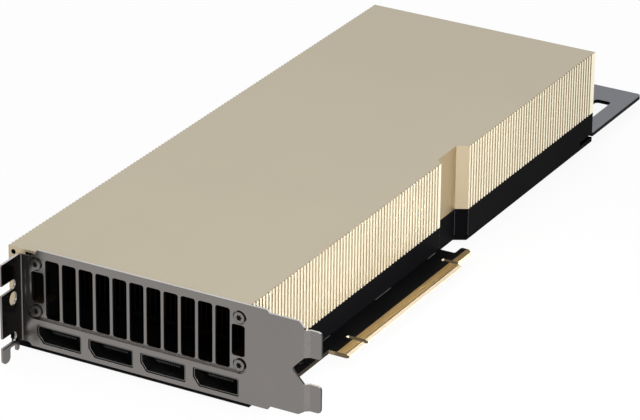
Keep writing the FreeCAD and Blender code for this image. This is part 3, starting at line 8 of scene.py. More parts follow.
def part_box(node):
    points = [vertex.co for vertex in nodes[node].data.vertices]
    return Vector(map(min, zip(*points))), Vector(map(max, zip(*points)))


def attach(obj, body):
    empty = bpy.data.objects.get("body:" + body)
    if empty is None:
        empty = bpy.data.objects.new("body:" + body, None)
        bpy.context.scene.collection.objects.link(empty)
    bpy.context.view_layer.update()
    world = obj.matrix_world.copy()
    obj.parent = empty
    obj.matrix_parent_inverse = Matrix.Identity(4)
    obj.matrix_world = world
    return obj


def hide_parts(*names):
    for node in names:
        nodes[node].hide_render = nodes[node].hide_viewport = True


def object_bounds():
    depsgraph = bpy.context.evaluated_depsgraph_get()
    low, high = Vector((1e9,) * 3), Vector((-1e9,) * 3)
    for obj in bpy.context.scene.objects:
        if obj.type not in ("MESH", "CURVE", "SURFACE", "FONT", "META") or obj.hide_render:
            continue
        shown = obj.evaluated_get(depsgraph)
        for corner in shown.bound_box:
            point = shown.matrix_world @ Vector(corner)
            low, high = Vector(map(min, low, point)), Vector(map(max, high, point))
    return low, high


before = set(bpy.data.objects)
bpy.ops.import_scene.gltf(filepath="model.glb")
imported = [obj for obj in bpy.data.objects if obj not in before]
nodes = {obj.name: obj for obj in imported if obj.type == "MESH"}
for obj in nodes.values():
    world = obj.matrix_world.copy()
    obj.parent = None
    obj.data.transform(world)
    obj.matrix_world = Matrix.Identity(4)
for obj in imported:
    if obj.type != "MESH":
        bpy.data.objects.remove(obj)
cadBox = [list(corner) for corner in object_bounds()]
mm = 0.001
keyPlace = 60.0  # the frame's origin lies this far behind the bracket's outer face


def inCard(point):
    """A point in mm from the bracket's face, the finger edge and the board's component side."""
    return point.x / mm + keyPlace, point.y / mm, point.z / mm


def boxInCard(name):
    low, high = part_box(name)
    return inCard(Vector(low)), inCard(Vector(high))


# ---- materials ----

def addNode(tree, kind, **settings):
    node = tree.nodes.new(kind)
    for name, value in settings.items():
        if name in node.inputs:
            node.inputs[name].default_value = value
        else:
            setattr(node, name, value)
    return node


def connect(tree, source, target):
    tree.links.new(source, target)


def newGroup(name, inputs, outputs):
    group = bpy.data.node_groups.new(name, "ShaderNodeTree")
    for label, kind, value in inputs:
        socket = group.interface.new_socket(label, in_out="INPUT", socket_type=kind)
        socket.default_value = value
    for label, kind in outputs:
        group.interface.new_socket(label, in_out="OUTPUT", socket_type=kind)
    return group, group.nodes.new("NodeGroupInput"), group.nodes.new("NodeGroupOutput")


def makeGrainGroup():
    # fine grain of a blasted, brushed, moulded or plated surface, and a slow drift under it
    group, given, result = newGroup(
        "surfaceGrain",
        [("Grain size", "NodeSocketFloat", 0.15), ("Depth", "NodeSocketFloat", 0.02),
         ("Stretch", "NodeSocketVector", (1.0, 1.0, 1.0))],
        [("Grain", "NodeSocketFloat"), ("Drift", "NodeSocketFloat"),
         ("Normal", "NodeSocketVector")])
    place = addNode(group, "ShaderNodeTexCoord")
    stretch = addNode(group, "ShaderNodeVectorMath", operation="MULTIPLY")
    scale = addNode(group, "ShaderNodeMath", operation="DIVIDE")
    scale.inputs[0].default_value = 1000.0
    fine = addNode(group, "ShaderNodeTexNoise", Detail=2.0, Roughness=0.6)
    slow = addNode(group, "ShaderNodeTexNoise", Scale=38.0, Detail=2.0, Roughness=0.5)
    depth = addNode(group, "ShaderNodeMath", operation="MULTIPLY")
    depth.inputs[1].default_value = mm
    bump = addNode(group, "ShaderNodeBump", Strength=1.0)
    connect(group, place.outputs["Object"], stretch.inputs[0])
    connect(group, given.outputs["Stretch"], stretch.inputs[1])
    connect(group, given.outputs["Grain size"], scale.inputs[1])
    connect(group, stretch.outputs[0], fine.inputs["Vector"])
    connect(group, scale.outputs[0], fine.inputs["Scale"])
    connect(group, place.outputs["Object"], slow.inputs["Vector"])
    connect(group, given.outputs["Depth"], depth.inputs[0])
    connect(group, depth.outputs[0], bump.inputs["Distance"])
    connect(group, fine.outputs[0], bump.inputs["Height"])
    connect(group, fine.outputs[0], result.inputs["Grain"])
    connect(group, slow.outputs[0], result.inputs["Drift"])
    connect(group, bump.outputs[0], result.inputs["Normal"])
    return group


grainGroup = makeGrainGroup()


def newMaterial(name, look):
    # colour follows grain and drift between two values, roughness follows the drift
    material = bpy.data.materials.new(name)
    material.use_nodes = True
    tree = material.node_tree
    shader = tree.nodes["Principled BSDF"]
    grain = addNode(tree, "ShaderNodeGroup", node_tree=grainGroup)
    grain.inputs["Grain size"].default_value = look["grain"]
    grain.inputs["Depth"].default_value = look["depth"]
    grain.inputs["Stretch"].default_value = look.get("stretch", (1.0, 1.0, 1.0))
    spread = addNode(tree, "ShaderNodeMapRange")
    spread.inputs["From Min"].default_value = 0.3
    spread.inputs["From Max"].default_value = 0.7
    spread.inputs["To Min"].default_value = -0.3
    spread.inputs["To Max"].default_value = 0.3
    connect(tree, grain.outputs["Grain"], spread.inputs["Value"])
    blend = addNode(tree, "ShaderNodeMath", operation="ADD", use_clamp=True)
    connect(tree, grain.outputs["Drift"], blend.inputs[0])
    connect(tree, spread.outputs[0], blend.inputs[1])
    colour = addNode(tree, "ShaderNodeMix", data_type="RGBA")
    colour.inputs["A"].default_value = (*look["colour"], 1.0)
    colour.inputs["B"].default_value = (*look["second"], 1.0)
    connect(tree, blend.outputs[0], colour.inputs["Factor"])
    connect(tree, colour.outputs["Result"], shader.inputs["Base Color"])
    rough = addNode(tree, "ShaderNodeMapRange")
    rough.inputs["From Min"].default_value = 0.3
    rough.inputs["From Max"].default_value = 0.7
    rough.inputs["To Min"].default_value = look["roughness"][0]
    rough.inputs["To Max"].default_value = look["roughness"][1]
    connect(tree, grain.outputs["Drift"], rough.inputs["Value"])
    connect(tree, rough.outputs[0], shader.inputs["Roughness"])
    connect(tree, grain.outputs["Normal"], shader.inputs["Normal"])
    shader.inputs["Metallic"].default_value = look.get("metallic", 0.0)
    shader.inputs["Specular IOR Level"].default_value = look.get("shine", 0.5)
    return material


looks = {
    # gold anodised cover
    "goldRoof": dict(colour=(0.388, 0.347, 0.261), second=(0.398, 0.355, 0.267), metallic=1.0,
                     roughness=(0.42, 0.44), grain=0.25, depth=0.0015),
    # ribs: the gold painted much lighter than the roof, a painted highlight on the ridges
    "goldRibPaintedHighlight": dict(colour=(0.860, 0.795, 0.635), second=(0.885, 0.820, 0.655), metallic=1.0,
                    roughness=(0.42, 0.46), grain=0.2, depth=0.0002),
    # grooves: a darker copy of the gold, painted shade between the ribs
    "goldGroovePaintedShade": dict(colour=(0.250, 0.195, 0.112), second=(0.275, 0.215, 0.124), metallic=1.0,
                       roughness=(0.46, 0.52), grain=0.2, depth=0.0002),
    "goldWall": dict(colour=(0.460, 0.385, 0.262), second=(0.475, 0.398, 0.272), metallic=1.0,
                     roughness=(0.42, 0.46), grain=0.25, depth=0.0015),
    # inset wall: a darker copy of the gold, painted shade
    "goldInsetPaintedShade": dict(colour=(0.350, 0.272, 0.162), second=(0.365, 0.284, 0.170), metallic=1.0,
                      roughness=(0.42, 0.46), grain=0.25, depth=0.0015),
    "goldShade": dict(colour=(0.060, 0.045, 0.025), second=(0.075, 0.056, 0.032), metallic=1.0,
                      roughness=(0.42, 0.5), grain=0.25, depth=0.0015),
    # inside of the cover painted near black as painted shade, so the vents read black
    "shellInsidePaintedShade": dict(colour=(0.0008, 0.0008, 0.0008), second=(0.0014, 0.0014, 0.0014),
                        shine=0.004, roughness=(0.6, 0.7), grain=0.3, depth=0.004),
    # black anodised frame and backplate
    "blackFrame": dict(colour=(0.0020, 0.0020, 0.0023), second=(0.0027, 0.0027, 0.0031),
                       shine=0.007, roughness=(0.42, 0.5), grain=0.3, depth=0.004),
    # upright bevels of the black frame painted light metal, a painted highlight along its corners
    "frameEdge": dict(colour=(0.260, 0.270, 0.290), second=(0.320, 0.330, 0.350), metallic=1.0,
                      roughness=(0.35, 0.45), grain=0.3, depth=0.002),
    # board
    "boardMask": dict(colour=(0.0028, 0.0030, 0.0036), second=(0.0045, 0.0046, 0.0050),
                      shine=0.015, roughness=(0.28, 0.36), grain=0.9, depth=0.006,
                      stretch=(0.25, 1.0, 1.0)),
    "laminate": dict(colour=(0.46, 0.37, 0.25), second=(0.62, 0.52, 0.37), shine=0.3,
                     roughness=(0.55, 0.65), grain=0.35, depth=0.01, stretch=(0.15, 1.0, 2.0)),
    # laminate edges away from the light painted near black, painted shade
    "laminateShade": dict(colour=(0.012, 0.010, 0.007), second=(0.018, 0.015, 0.011), shine=0.015,
                          roughness=(0.55, 0.65), grain=0.35, depth=0.01),
    # tab's front edge: a darker copy of the laminate, painted shade
    "laminateFrontShade": dict(colour=(0.070, 0.054, 0.030), second=(0.090, 0.069, 0.038), shine=0.1,
                          roughness=(0.55, 0.65), grain=0.35, depth=0.01),
    "laminateBevel": dict(colour=(0.45, 0.365, 0.26), second=(0.52, 0.435, 0.325), shine=0.3,
                          roughness=(0.5, 0.6), grain=0.3, depth=0.008, stretch=(0.15, 2.0, 1.0)),
    "fingerGround": dict(colour=(0.16, 0.105, 0.045), second=(0.21, 0.145, 0.065), shine=0.2,
                         roughness=(0.5, 0.6), grain=0.3, depth=0.004),
    "goldContact": dict(colour=(0.46, 0.335, 0.155), second=(0.51, 0.38, 0.18), metallic=1.0,
                        roughness=(0.3, 0.38), grain=0.2, depth=0.001),
    # tin on the ground strips, pale enough to stand for the glints along the frame's foot, partly a
    # painted highlight
    "tinStripGlint": dict(colour=(0.380, 0.370, 0.350), second=(0.480, 0.465, 0.440), metallic=1.0,
                     roughness=(0.4, 0.5), grain=0.15, depth=0.002),
    # bracket, screws and ports
    "bracketSteel": dict(colour=(0.208, 0.195, 0.184), second=(0.220, 0.205, 0.196), metallic=1.0,
                         roughness=(0.24, 0.28), grain=0.2, depth=0.0008,
                         stretch=(1.0, 0.12, 1.0)),
    # upward edges of the bracket: a lighter copy of the steel, painted highlight
    "bracketEdge": dict(colour=(0.46, 0.44, 0.43), second=(0.54, 0.52, 0.51), metallic=1.0,
                        roughness=(0.22, 0.3), grain=0.15, depth=0.001),
    "flangeShade": dict(colour=(0.007, 0.0068, 0.0066), second=(0.009, 0.0087, 0.0084),
                        metallic=1.0, roughness=(0.22, 0.28), grain=0.2, depth=0.0008),
    # tail's inner face: a darker copy of the bracket steel, painted shade
    "tailSteelShade": dict(colour=(0.130, 0.122, 0.115), second=(0.138, 0.129, 0.122), metallic=1.0,
                      roughness=(0.24, 0.28), grain=0.2, depth=0.0008),
    # cut edges facing sideways and down painted dark, painted shade
    "cutEdgeShade": dict(colour=(0.020, 0.019, 0.018), second=(0.030, 0.028, 0.027), metallic=1.0,
                    roughness=(0.35, 0.45), grain=0.15, depth=0.001),
    "screwSteel": dict(colour=(0.180, 0.170, 0.162), second=(0.21, 0.20, 0.19), metallic=1.0,
                       roughness=(0.24, 0.3), grain=0.15, depth=0.001),
    # ring round the screw heads and inside the drives painted near black, painted shade
    "recessPaintedShade": dict(colour=(0.006, 0.006, 0.006), second=(0.010, 0.010, 0.010), shine=0.1,
                       roughness=(0.4, 0.5), grain=0.15, depth=0.002),
    "portSteel": dict(colour=(0.110, 0.108, 0.106), second=(0.15, 0.147, 0.144), metallic=1.0,
                      roughness=(0.28, 0.36), grain=0.2, depth=0.001),
    # inside of the port shells painted dark, painted shade
    "portInsideShade": dict(colour=(0.012, 0.012, 0.013), second=(0.020, 0.020, 0.021), metallic=1.0,
                       roughness=(0.35, 0.45), grain=0.2, depth=0.001),
    "blackMoulding": dict(colour=(0.003, 0.003, 0.0034), second=(0.005, 0.005, 0.0055),
                          shine=0.03, roughness=(0.45, 0.55), grain=0.12, depth=0.003),
    # heat sink and extender; the chamber and fins are painted near black as shade so the vents read
    # black
    "chamberPaintedShade": dict(colour=(0.010, 0.010, 0.011), second=(0.014, 0.014, 0.015),
                          metallic=1.0, roughness=(0.4, 0.5), grain=0.3, depth=0.002),
    "finPaintedShade": dict(colour=(0.008, 0.008, 0.009), second=(0.012, 0.012, 0.013), metallic=1.0,
                    roughness=(0.42, 0.5), grain=0.3, depth=0.002),
    "extenderSteel": dict(colour=(0.122, 0.128, 0.143), second=(0.130, 0.136, 0.151),
                          metallic=1.0, roughness=(0.34, 0.38), grain=0.2, depth=0.001,
                          stretch=(0.12, 1.0, 1.0)),
    "extenderEdge": dict(colour=(0.0035, 0.0035, 0.0038), second=(0.006, 0.006, 0.0065),
                         shine=0.03, roughness=(0.45, 0.55), grain=0.2, depth=0.002),
    # hidden pieces on the board
    "brightSteel": dict(colour=(0.52, 0.52, 0.53), second=(0.58, 0.58, 0.59), metallic=1.0,
                        roughness=(0.28, 0.36), grain=0.2, depth=0.001),
    "blackFoam": dict(colour=(0.012, 0.012, 0.012), second=(0.02, 0.02, 0.02), shine=0.1,
                      roughness=(0.8, 0.95), grain=0.4, depth=0.06),
    "packageGreen": dict(colour=(0.02, 0.07, 0.035), second=(0.03, 0.09, 0.045),
                         roughness=(0.4, 0.5), grain=0.3, depth=0.004),
    "dieGlass": dict(colour=(0.03, 0.035, 0.045), second=(0.04, 0.045, 0.06), metallic=0.6,
                     roughness=(0.08, 0.14), grain=0.5, depth=0.0005),
    "greyPaste": dict(colour=(0.42, 0.43, 0.45), second=(0.5, 0.5, 0.52),
                      roughness=(0.5, 0.7), grain=0.5, depth=0.03),
    "chipMoulding": dict(colour=(0.018, 0.018, 0.019), second=(0.026, 0.026, 0.027),
                         roughness=(0.5, 0.62), grain=0.1, depth=0.005),
    "coilFerrite": dict(colour=(0.05, 0.05, 0.052), second=(0.08, 0.08, 0.08),
                        roughness=(0.55, 0.7), grain=0.2, depth=0.012),
}
materials = {name: newMaterial(name, look) for name, look in looks.items()}
print("materials:", len(materials))


# ---- pieces taken from the frame and dressed ----

def camel(name):
    words = name.split("_")
    return words[0] + "".join(word.capitalize() for word in words[1:])


soft = {"flat": 0.6, "corner": 28.0, "sharp": 32.0, "evenWeight": 80, "segments": 2}


def dressed(name, recipe):
    # a copy of a CAD node with whole faces, a finish for each zone and softened edges
    mesh = nodes[name].data.copy()
    work = bmesh.new()
    work.from_mesh(mesh)
    bmesh.ops.remove_doubles(work, verts=work.verts, dist=1e-6)
    bmesh.ops.dissolve_limit(work, angle_limit=math.radians(soft["flat"]), verts=work.verts,
                             edges=work.edges, use_dissolve_boundaries=False)
    if "prepare" in recipe:
        recipe["prepare"](work)
    finishes = [recipe["look"]]
    for face in work.faces:
        finish = recipe["look"]
        if "zone" in recipe:
            face.normal_update()
            finish = recipe["zone"](*inCard(face.calc_center_median()), face.normal) or finish
        if finish not in finishes:
            finishes.append(finish)
        face.material_index = finishes.index(finish)
    if recipe.get("edge"):
        choose = recipe.get("choose")
        edges = [edge for edge in work.edges if len(edge.link_faces) == 2
                 and edge.calc_face_angle(0.0) > math.radians(soft["corner"])
                 and (choose is None or choose(*inCard((edge.verts[0].co + edge.verts[1].co) / 2)))]
        segments = recipe.get("segments", soft["segments"])
        made = bmesh.ops.bevel(work, geom=edges, offset=recipe["edge"] * mm,
                               offset_type="OFFSET", segments=segments, profile=0.5,
                               affect="EDGES", clamp_overlap=True, material=-1)
        if "rim" in recipe:
            finish, onRim = recipe["rim"]
            finishes.append(finish)
            for face in made["faces"]:
                face.normal_update()
                if onRim(face.normal):
                    face.material_index = len(finishes) - 1
    mesh.materials.clear()
    work.to_mesh(mesh)
    work.free()
    for finish in finishes:
        mesh.materials.append(materials[finish])
    mesh.shade_smooth()
    mesh.set_sharp_from_angle(angle=math.radians(soft["sharp"]))
    piece = bpy.data.objects.new(camel(name), mesh)
    bpy.context.scene.collection.objects.link(piece)
    even = piece.modifiers.new("evenNormals", "WEIGHTED_NORMAL")
    even.mode, even.weight, even.keep_sharp = "FACE_AREA", soft["evenWeight"], True
    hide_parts(name)
    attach(piece, "root")
    return piece


slack = 0.1  # mm within which a face lies on a plane of the piece


def upright(normal):
    return abs(normal.z) < 0.3


def skyward(normal):
    return normal.z > 0.3


def anywhere(normal):
    return True


# cover: ribs painted lighter as a painted highlight, grooves between them, the inset wall and the
# ear pocket's floor painted darker as shade, roof, smooth walls, and the inside painted near black
# as shade
coverLow, coverHigh = boxInCard("cover")
coverParts = {"front": coverLow[0], "rear": coverHigh[0], "top": coverHigh[2],
              "farSide": coverHigh[1], "frontWall": 13.6, "rearWall": coverLow[1],
              "insetWall": 16.5, "insetStart": 140.5, "insetFinish": 160.6,
              "ribFace": 0.08, "grooveDepth": 0.5, "slotLow": 15.1, "earBack": 9.0}


def coverZone(x, y, z, normal):
    part = coverParts
    if normal.z > 0.5 and z > part["top"] - slack:
        return "goldRoof"
    inset = part["insetStart"] - 2 * slack < x < part["insetFinish"] + 2 * slack
    wall = part["frontWall"] if x < part["insetStart"] else part["rearWall"]
    depth = min(y - wall, part["farSide"] - y)
    if upright(normal):
        if x < part["front"] + slack or x > part["rear"] - slack:
            return "goldWall"
        if inset and y < part["insetWall"] + 3 * slack:
            return "goldInsetPaintedShade" if abs(normal.x) < 0.3 else "goldWall"
        if depth < part["ribFace"]:
            return "goldRibPaintedHighlight"
        if depth < part["grooveDepth"] + slack:
            return "goldGroovePaintedShade"
    if normal.z > 0.5 and abs(z - part["slotLow"]) < slack and x < part["earBack"]:
        return "goldShade"
    return "shellInsidePaintedShade"


def belowRoof(x, y, z):
    return z < coverParts["top"] - slack


# board: black mask, cut laminate edges painted near black as shade where they face away from the
# light, pale bevel and the bare ground between the fingers
fingerBox = boxInCard("edge_contacts_top")
boardParts = {"bevelHeight": fingerBox[0][1], "lineHeight": 0.32, "fingerTop": fingerBox[1][1],
              "shoulder": 8.3, "shadeFrom": 11.3, "tabFront": fingerBox[0][0] - 1.2}


def splitBoard(work):
    part = boardParts
    for height in (part["bevelHeight"] + part["lineHeight"], part["fingerTop"]):
        bmesh.ops.bisect_plane(work, geom=[*work.verts, *work.edges, *work.faces], dist=1e-7,
                               plane_co=(0, height * mm, 0), plane_no=(0, 1, 0))


def boardZone(x, y, z, normal):
    part = boardParts
    if abs(normal.z) < 0.2:
        if normal.x < -0.9 and y < part["shoulder"]:
            return "laminateFrontShade"
        if y > part["shadeFrom"] or x < part["tabFront"] or normal.x < -0.9:
            return "laminateShade"
        return "laminate"
    if abs(normal.z) < 0.98:
        return "laminateBevel"
    if part["bevelHeight"] + part["lineHeight"] < y < part["fingerTop"]:
        return "fingerGround"
    return "boardMask"


def trimFingers(work):
    # a thin dark line stays between the fingers and the bevel
    part = boardParts
    for vert in work.verts:
        if vert.co.y < (part["bevelHeight"] + slack) * mm:
            vert.co.y += part["lineHeight"] * mm


# bracket screws: painted shade as a dark ring round the head and in the drive
screwParts = {"places": [(y, z) for y in (17.4, 100.0) for z in (11.9, 30.0)], "rim": 2.1}


def fromScrew(y, z):
    return min(math.hypot(y - across, z - up) for across, up in screwParts["places"])


def bracketScrewZone(x, y, z, normal):
    if normal.x < -0.9 and x < 1.0:
        return "screwSteel"
    return "recessPaintedShade"


def headRim(x, y, z):
    return fromScrew(y, z) > screwParts["rim"]


starDrive = {"headArea": 4e-6, "inset": 0.5, "reach": 0.52, "lobes": 6, "lobe": 0.14,
             "depth": 0.4}  # area in square metres, the rest as shares of the head's radius


def starDrives(work):
    # every downward screw head gets a six-lobe drive
    part = starDrive
    heads = [face for face in work.faces
             if face.normal.z < -0.9 and face.calc_area() > part["headArea"]]
    for face in heads:
        reach = math.sqrt(face.calc_area() / math.pi)
        middle = face.calc_center_median()
        bmesh.ops.inset_individual(work, faces=[face], thickness=reach * part["inset"])
        for vert in face.verts:
            arm = vert.co - middle
            wave = math.cos(part["lobes"] * math.atan2(arm.y, arm.x))
            lobe = 1 - part["lobe"] + part["lobe"] * wave
            vert.co = middle + arm.normalized() * reach * part["reach"] * lobe
        floor = bmesh.ops.extrude_discrete_faces(work, faces=[face])["faces"]
        bmesh.ops.translate(work, verts=floor[0].verts, vec=(0, 0, reach * part["depth"]))


# bracket: the flange's inner face, the tail and the cut edges facing sideways and down are painted
# darker as shade, its upward edges painted lighter as a painted highlight
bracketParts = {"flange": -1.0, "tailTop": 0.5, "tongues": 14.0, "upper": 33.0}


def splitFlange(work):
    part = bracketParts
    faces = [face for face in work.faces
             if inCard(face.calc_center_median())[0] < part["flange"]]
    edges = {edge for face in faces for edge in face.edges}
    verts = {vert for face in faces for vert in face.verts}
    bmesh.ops.bisect_plane(work, geom=[*verts, *edges, *faces], dist=1e-7,
                           plane_co=(0, 0, part["tailTop"] * mm), plane_no=(0, 0, 1))


def bracketZone(x, y, z, normal):
    part = bracketParts
    if x < part["flange"] and normal.y < -0.7:
        return "flangeShade" if z > part["tailTop"] else "tailSteelShade"
    if x < part["flange"]:
        return "bracketSteel"
    if normal.z > 0.7 and (y < part["tongues"] or z > part["upper"]):
        return "bracketEdge"
    if abs(normal.y) > 0.7 or normal.z < -0.7:
        return "cutEdgeShade"
    return "bracketSteel"


# extender: bright faces, dark cut edges
def extenderZone(x, y, z, normal):
    return "extenderEdge" if abs(normal.z) < 0.5 else "extenderSteel"


# ports: rim as the bracket, inside painted dark as shade
def portShellZone(x, y, z, normal):
    return "portSteel" if normal.x < -0.9 or normal.z > 0.9 else "portInsideShade"


dressing = {
    "cover": dict(look="shellInsidePaintedShade", edge=0.1, segments=1, zone=coverZone, choose=belowRoof),
    "base_frame": dict(look="blackFrame", edge=0.18, rim=("frameEdge", upright)),
    "backplate": dict(look="blackFrame", edge=0.1),
    "circuit_board": dict(look="boardMask", prepare=splitBoard, zone=boardZone),
    "edge_contacts_top": dict(look="goldContact", prepare=trimFingers),
    "edge_contacts_bottom": dict(look="goldContact", prepare=trimFingers),
    "ground_strips": dict(look="tinStripGlint"),
    "io_bracket": dict(look="bracketSteel", edge=0.14, prepare=splitFlange, zone=bracketZone,
                       rim=("bracketEdge", skyward)),
    "bracket_screws": dict(look="screwSteel", edge=0.17, segments=1, zone=bracketScrewZone,
                           choose=headRim, rim=("recessPaintedShade", anywhere)),
    "vapour_chamber": dict(look="chamberPaintedShade", edge=0.1),
    "fin_stack": dict(look="finPaintedShade"),
    "package_stiffener": dict(look="brightSteel", edge=0.08),
    "clamp_plate": dict(look="brightSteel", edge=0.08),
    "power_socket": dict(look="blackMoulding", edge=0.1),
    "power_pins": dict(look="goldContact", edge=0.06, segments=1),
    "extender_bracket": dict(look="extenderSteel", edge=0.06, segments=1, zone=extenderZone),
    "foam_seals": dict(look="blackFoam"),
    "processor_package": dict(look="packageGreen", edge=0.05, segments=1),
    "processor_die": dict(look="dieGlass", edge=0.03, segments=1),
    "thermal_paste": dict(look="greyPaste"),
    "memory_chips_top": dict(look="chipMoulding", edge=0.08, segments=1),
    "memory_chips_bottom": dict(look="chipMoulding", edge=0.08, segments=1),
    "memory_pads_top": dict(look="greyPaste"),
    "memory_pads_bottom": dict(look="greyPaste"),
    "inductors": dict(look="coilFerrite", edge=0.2),
    "inductor_pads": dict(look="greyPaste"),
    "power_stages": dict(look="chipMoulding", edge=0.05, segments=1),
    "power_stage_pads": dict(look="greyPaste"),
    "capacitors": dict(look="chipMoulding", edge=0.1, segments=1),
    "controller_chips": dict(look="chipMoulding", edge=0.08, segments=1),
    "cover_screws": dict(look="screwSteel", edge=0.1, prepare=starDrives),
    "backplate_screws": dict(look="screwSteel", edge=0.1, prepare=starDrives),
    "extender_screws": dict(look="screwSteel", edge=0.1, prepare=starDrives),
    "clamp_screws": dict(look="screwSteel", edge=0.1, prepare=starDrives),
}
portNumbers = range(1, 5)
for number in portNumbers:
    dressing[f"video_port_shell_{number}"] = dict(look="portInsideShade", edge=0.05, segments=1,
                                                  zone=portShellZone)
    dressing[f"video_port_insert_{number}"] = dict(look="blackMoulding", edge=0.08)
pieces = {name: dressed(name, recipe) for name, recipe in dressing.items()}
print("dressed pieces:", len(pieces),
      sum(len(piece.data.polygons) for piece in pieces.values()), "faces")


# ---- contacts on the blades of the video ports ----

blade = {"contacts": 10, "pitch": 1.0, "width": 0.36, "length": 2.6, "thick": 0.1,
         "front": 3.6, "low": 3.5, "high": 4.9, "tip": 0.3, "edge": 0.02}


def addBlock(work, low, high):
    # a small block between two corners given in mm in the card's own measures
    made = bmesh.ops.create_cube(work, size=1.0)["verts"]
    size = [(b - a) * mm for a, b in zip(low, high)]
    middle = [(a + b) / 2 * mm for a, b in zip(low, high)]
    bmesh.ops.scale(work, verts=made, vec=size)
    bmesh.ops.translate(work, verts=made, vec=(middle[0] - keyPlace * mm, *middle[1:]))


def portContacts(number):
    part = blade
    low, high = boxInCard(f"video_port_shell_{number}")
    middle = (low[1] + high[1]) / 2
    work = bmesh.new()
    for step in range(part["contacts"]):
        near = middle + part["pitch"] * (step - (part["contacts"] - 1) / 2) - part["width"] / 2
        far = near + part["width"]
        front, rear = part["front"] - part["thick"], part["front"] + part["length"]
        addBlock(work, (front, near, part["high"]), (rear, far, part["high"] + part["thick"]))
        addBlock(work, (front, near, part["low"] - part["thick"]), (rear, far, part["low"]))
        for low in (part["high"] - part["tip"], part["low"]):
            addBlock(work, (front, near, low), (part["front"], far, low + part["tip"]))
    bmesh.ops.bevel(work, geom=work.edges[:], offset=part["edge"] * mm, offset_type="OFFSET",
                    segments=1, profile=0.5, affect="EDGES", clamp_overlap=True, material=-1)
    mesh = bpy.data.meshes.new(f"portContacts{number}")
    work.to_mesh(mesh)
    work.free()
    mesh.materials.append(materials["portSteel"])
    piece = bpy.data.objects.new(f"portContacts{number}", mesh)
    bpy.context.scene.collection.objects.link(piece)
    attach(piece, "root")


for number in portNumbers:
    portContacts(number)
print("port contacts made")


# ---- floor, light and camera ----

studio = {"floorLow": cadBox[0][2] - 0.0002, "floorSize": 8.0, "glow": 0.92}
floorMesh = bpy.data.meshes.new("floor")
half = studio["floorSize"] / 2
floorMesh.from_pydata([(-half, -half, 0), (half, -half, 0), (half, half, 0), (-half, half, 0)],
                      [], [(0, 1, 2, 3)])
floor = bpy.data.objects.new("floor", floorMesh)
floor.location.z = studio["floorLow"]
bpy.context.scene.collection.objects.link(floor)


def seenRays(tree):
    # 1 for camera, glossy and transmission rays, 0 for diffuse ones
    ray = addNode(tree, "ShaderNodeLightPath")
    first = addNode(tree, "ShaderNodeMath", operation="MAXIMUM")
    seen = addNode(tree, "ShaderNodeMath", operation="MAXIMUM")
    connect(tree, ray.outputs["Is Camera Ray"], first.inputs[0])
    connect(tree, ray.outputs["Is Glossy Ray"], first.inputs[1])
    connect(tree, first.outputs[0], seen.inputs[0])
    connect(tree, ray.outputs["Is Transmission Ray"], seen.inputs[1])
    return seen.outputs[0]


paleFloor = newMaterial("paleFloor", dict(colour=(0.92, 0.92, 0.92), second=(0.93, 0.93, 0.93),
                                          shine=0.0, roughness=(0.8, 0.9), grain=2.0, depth=0.0))
floorMesh.materials.append(paleFloor)
tree = paleFloor.node_tree
glow = addNode(tree, "ShaderNodeEmission", Color=(1.0, 1.0, 1.0, 1.0), Strength=1.0)
share = addNode(tree, "ShaderNodeMath", operation="MULTIPLY")
share.inputs[1].default_value = studio["glow"]
mix = addNode(tree, "ShaderNodeMixShader")
connect(tree, seenRays(tree), share.inputs[0])
connect(tree, share.outputs[0], mix.inputs[0])
connect(tree, tree.nodes["Principled BSDF"].outputs[0], mix.inputs[1])
connect(tree, glow.outputs[0], mix.inputs[2])
connect(tree, mix.outputs[0], tree.nodes["Material Output"].inputs["Surface"])


def softLight(name, place, target, size, power, spread=180.0):
    light = bpy.data.lights.new(name, "AREA")
    light.shape = "RECTANGLE"
    light.size, light.size_y = size
    light.energy = power
    light.spread = math.radians(spread)
    lamp = bpy.data.objects.new(name, light)
    lamp.location = place
    lamp.rotation_mode = "QUATERNION"
    lamp.rotation_quaternion = (Vector(target) - Vector(place)).to_track_quat("-Z", "Y")
    bpy.context.scene.collection.objects.link(lamp)


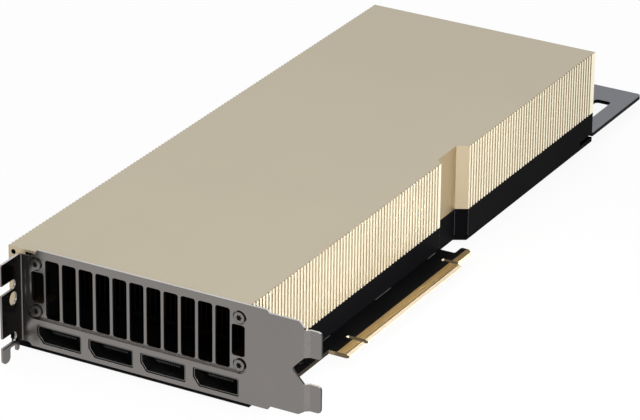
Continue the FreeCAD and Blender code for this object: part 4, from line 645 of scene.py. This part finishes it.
# two narrow lamps for the front ribs and the inset's slanted wall, two wide ones for the rest
lamps = {
    "ribLight": dict(place=(0.40, -0.34, 0.10), target=(-0.14, 0.01, 0.02), size=(0.4, 0.26),
                     power=0.12, spread=24.0),
    "cornerLight": dict(place=(-0.25, -0.55, 0.12), target=(-0.05, 0.01, 0.02), size=(0.3, 0.2),
                        power=0.55, spread=26.0),
    "topLight": dict(place=(0.5, 0.5, 1.7), target=(0.09, 0.06, 0.015), size=(2.0, 1.6),
                     power=14.0),
    "frontLight": dict(place=(-1.5, 0.7, 0.35), target=(0.0, 0.06, 0.015), size=(1.0, 0.7),
                       power=4.0),
}
for name, lamp in lamps.items():
    softLight(name, **lamp)
print("lamps:", len(lamps))

world = bpy.data.worlds.new("studio")
bpy.context.scene.world = world
world.use_nodes = True
tree = world.node_tree
tree.nodes.clear()
white = addNode(tree, "ShaderNodeBackground", Color=(1.0, 1.0, 1.0, 1.0), Strength=1.0)
room = addNode(tree, "ShaderNodeBackground", Color=(0.97, 0.98, 1.0, 1.0), Strength=0.5)
choice = addNode(tree, "ShaderNodeMixShader")
result = addNode(tree, "ShaderNodeOutputWorld")
connect(tree, seenRays(tree), choice.inputs[0])
connect(tree, room.outputs[0], choice.inputs[1])
connect(tree, white.outputs[0], choice.inputs[2])
connect(tree, choice.outputs[0], result.inputs["Surface"])

view = {"place": (-1.06163, -0.57280, 0.60192), "heading": 29.159, "down": 24.559,
        "roll": 0.659, "lens": 214.93, "sensor": 36.0, "clip": (0.05, 20.0)}
camera = bpy.data.cameras.new("camera")
camera.sensor_width = view["sensor"]
camera.lens = view["lens"]
camera.clip_start, camera.clip_end = view["clip"]
eye = bpy.data.objects.new("camera", camera)
heading, down, roll = (math.radians(view[name]) for name in ("heading", "down", "roll"))
turn = Euler((math.pi / 2 - down, 0.0, heading - math.pi / 2)).to_matrix()
turn = (turn @ Matrix.Rotation(roll, 3, "Z")).to_4x4()
eye.matrix_world = Matrix.Translation(view["place"]) @ turn
bpy.context.scene.collection.objects.link(eye)
bpy.context.scene.camera = eye
bpy.context.scene.view_settings.view_transform = "Standard"
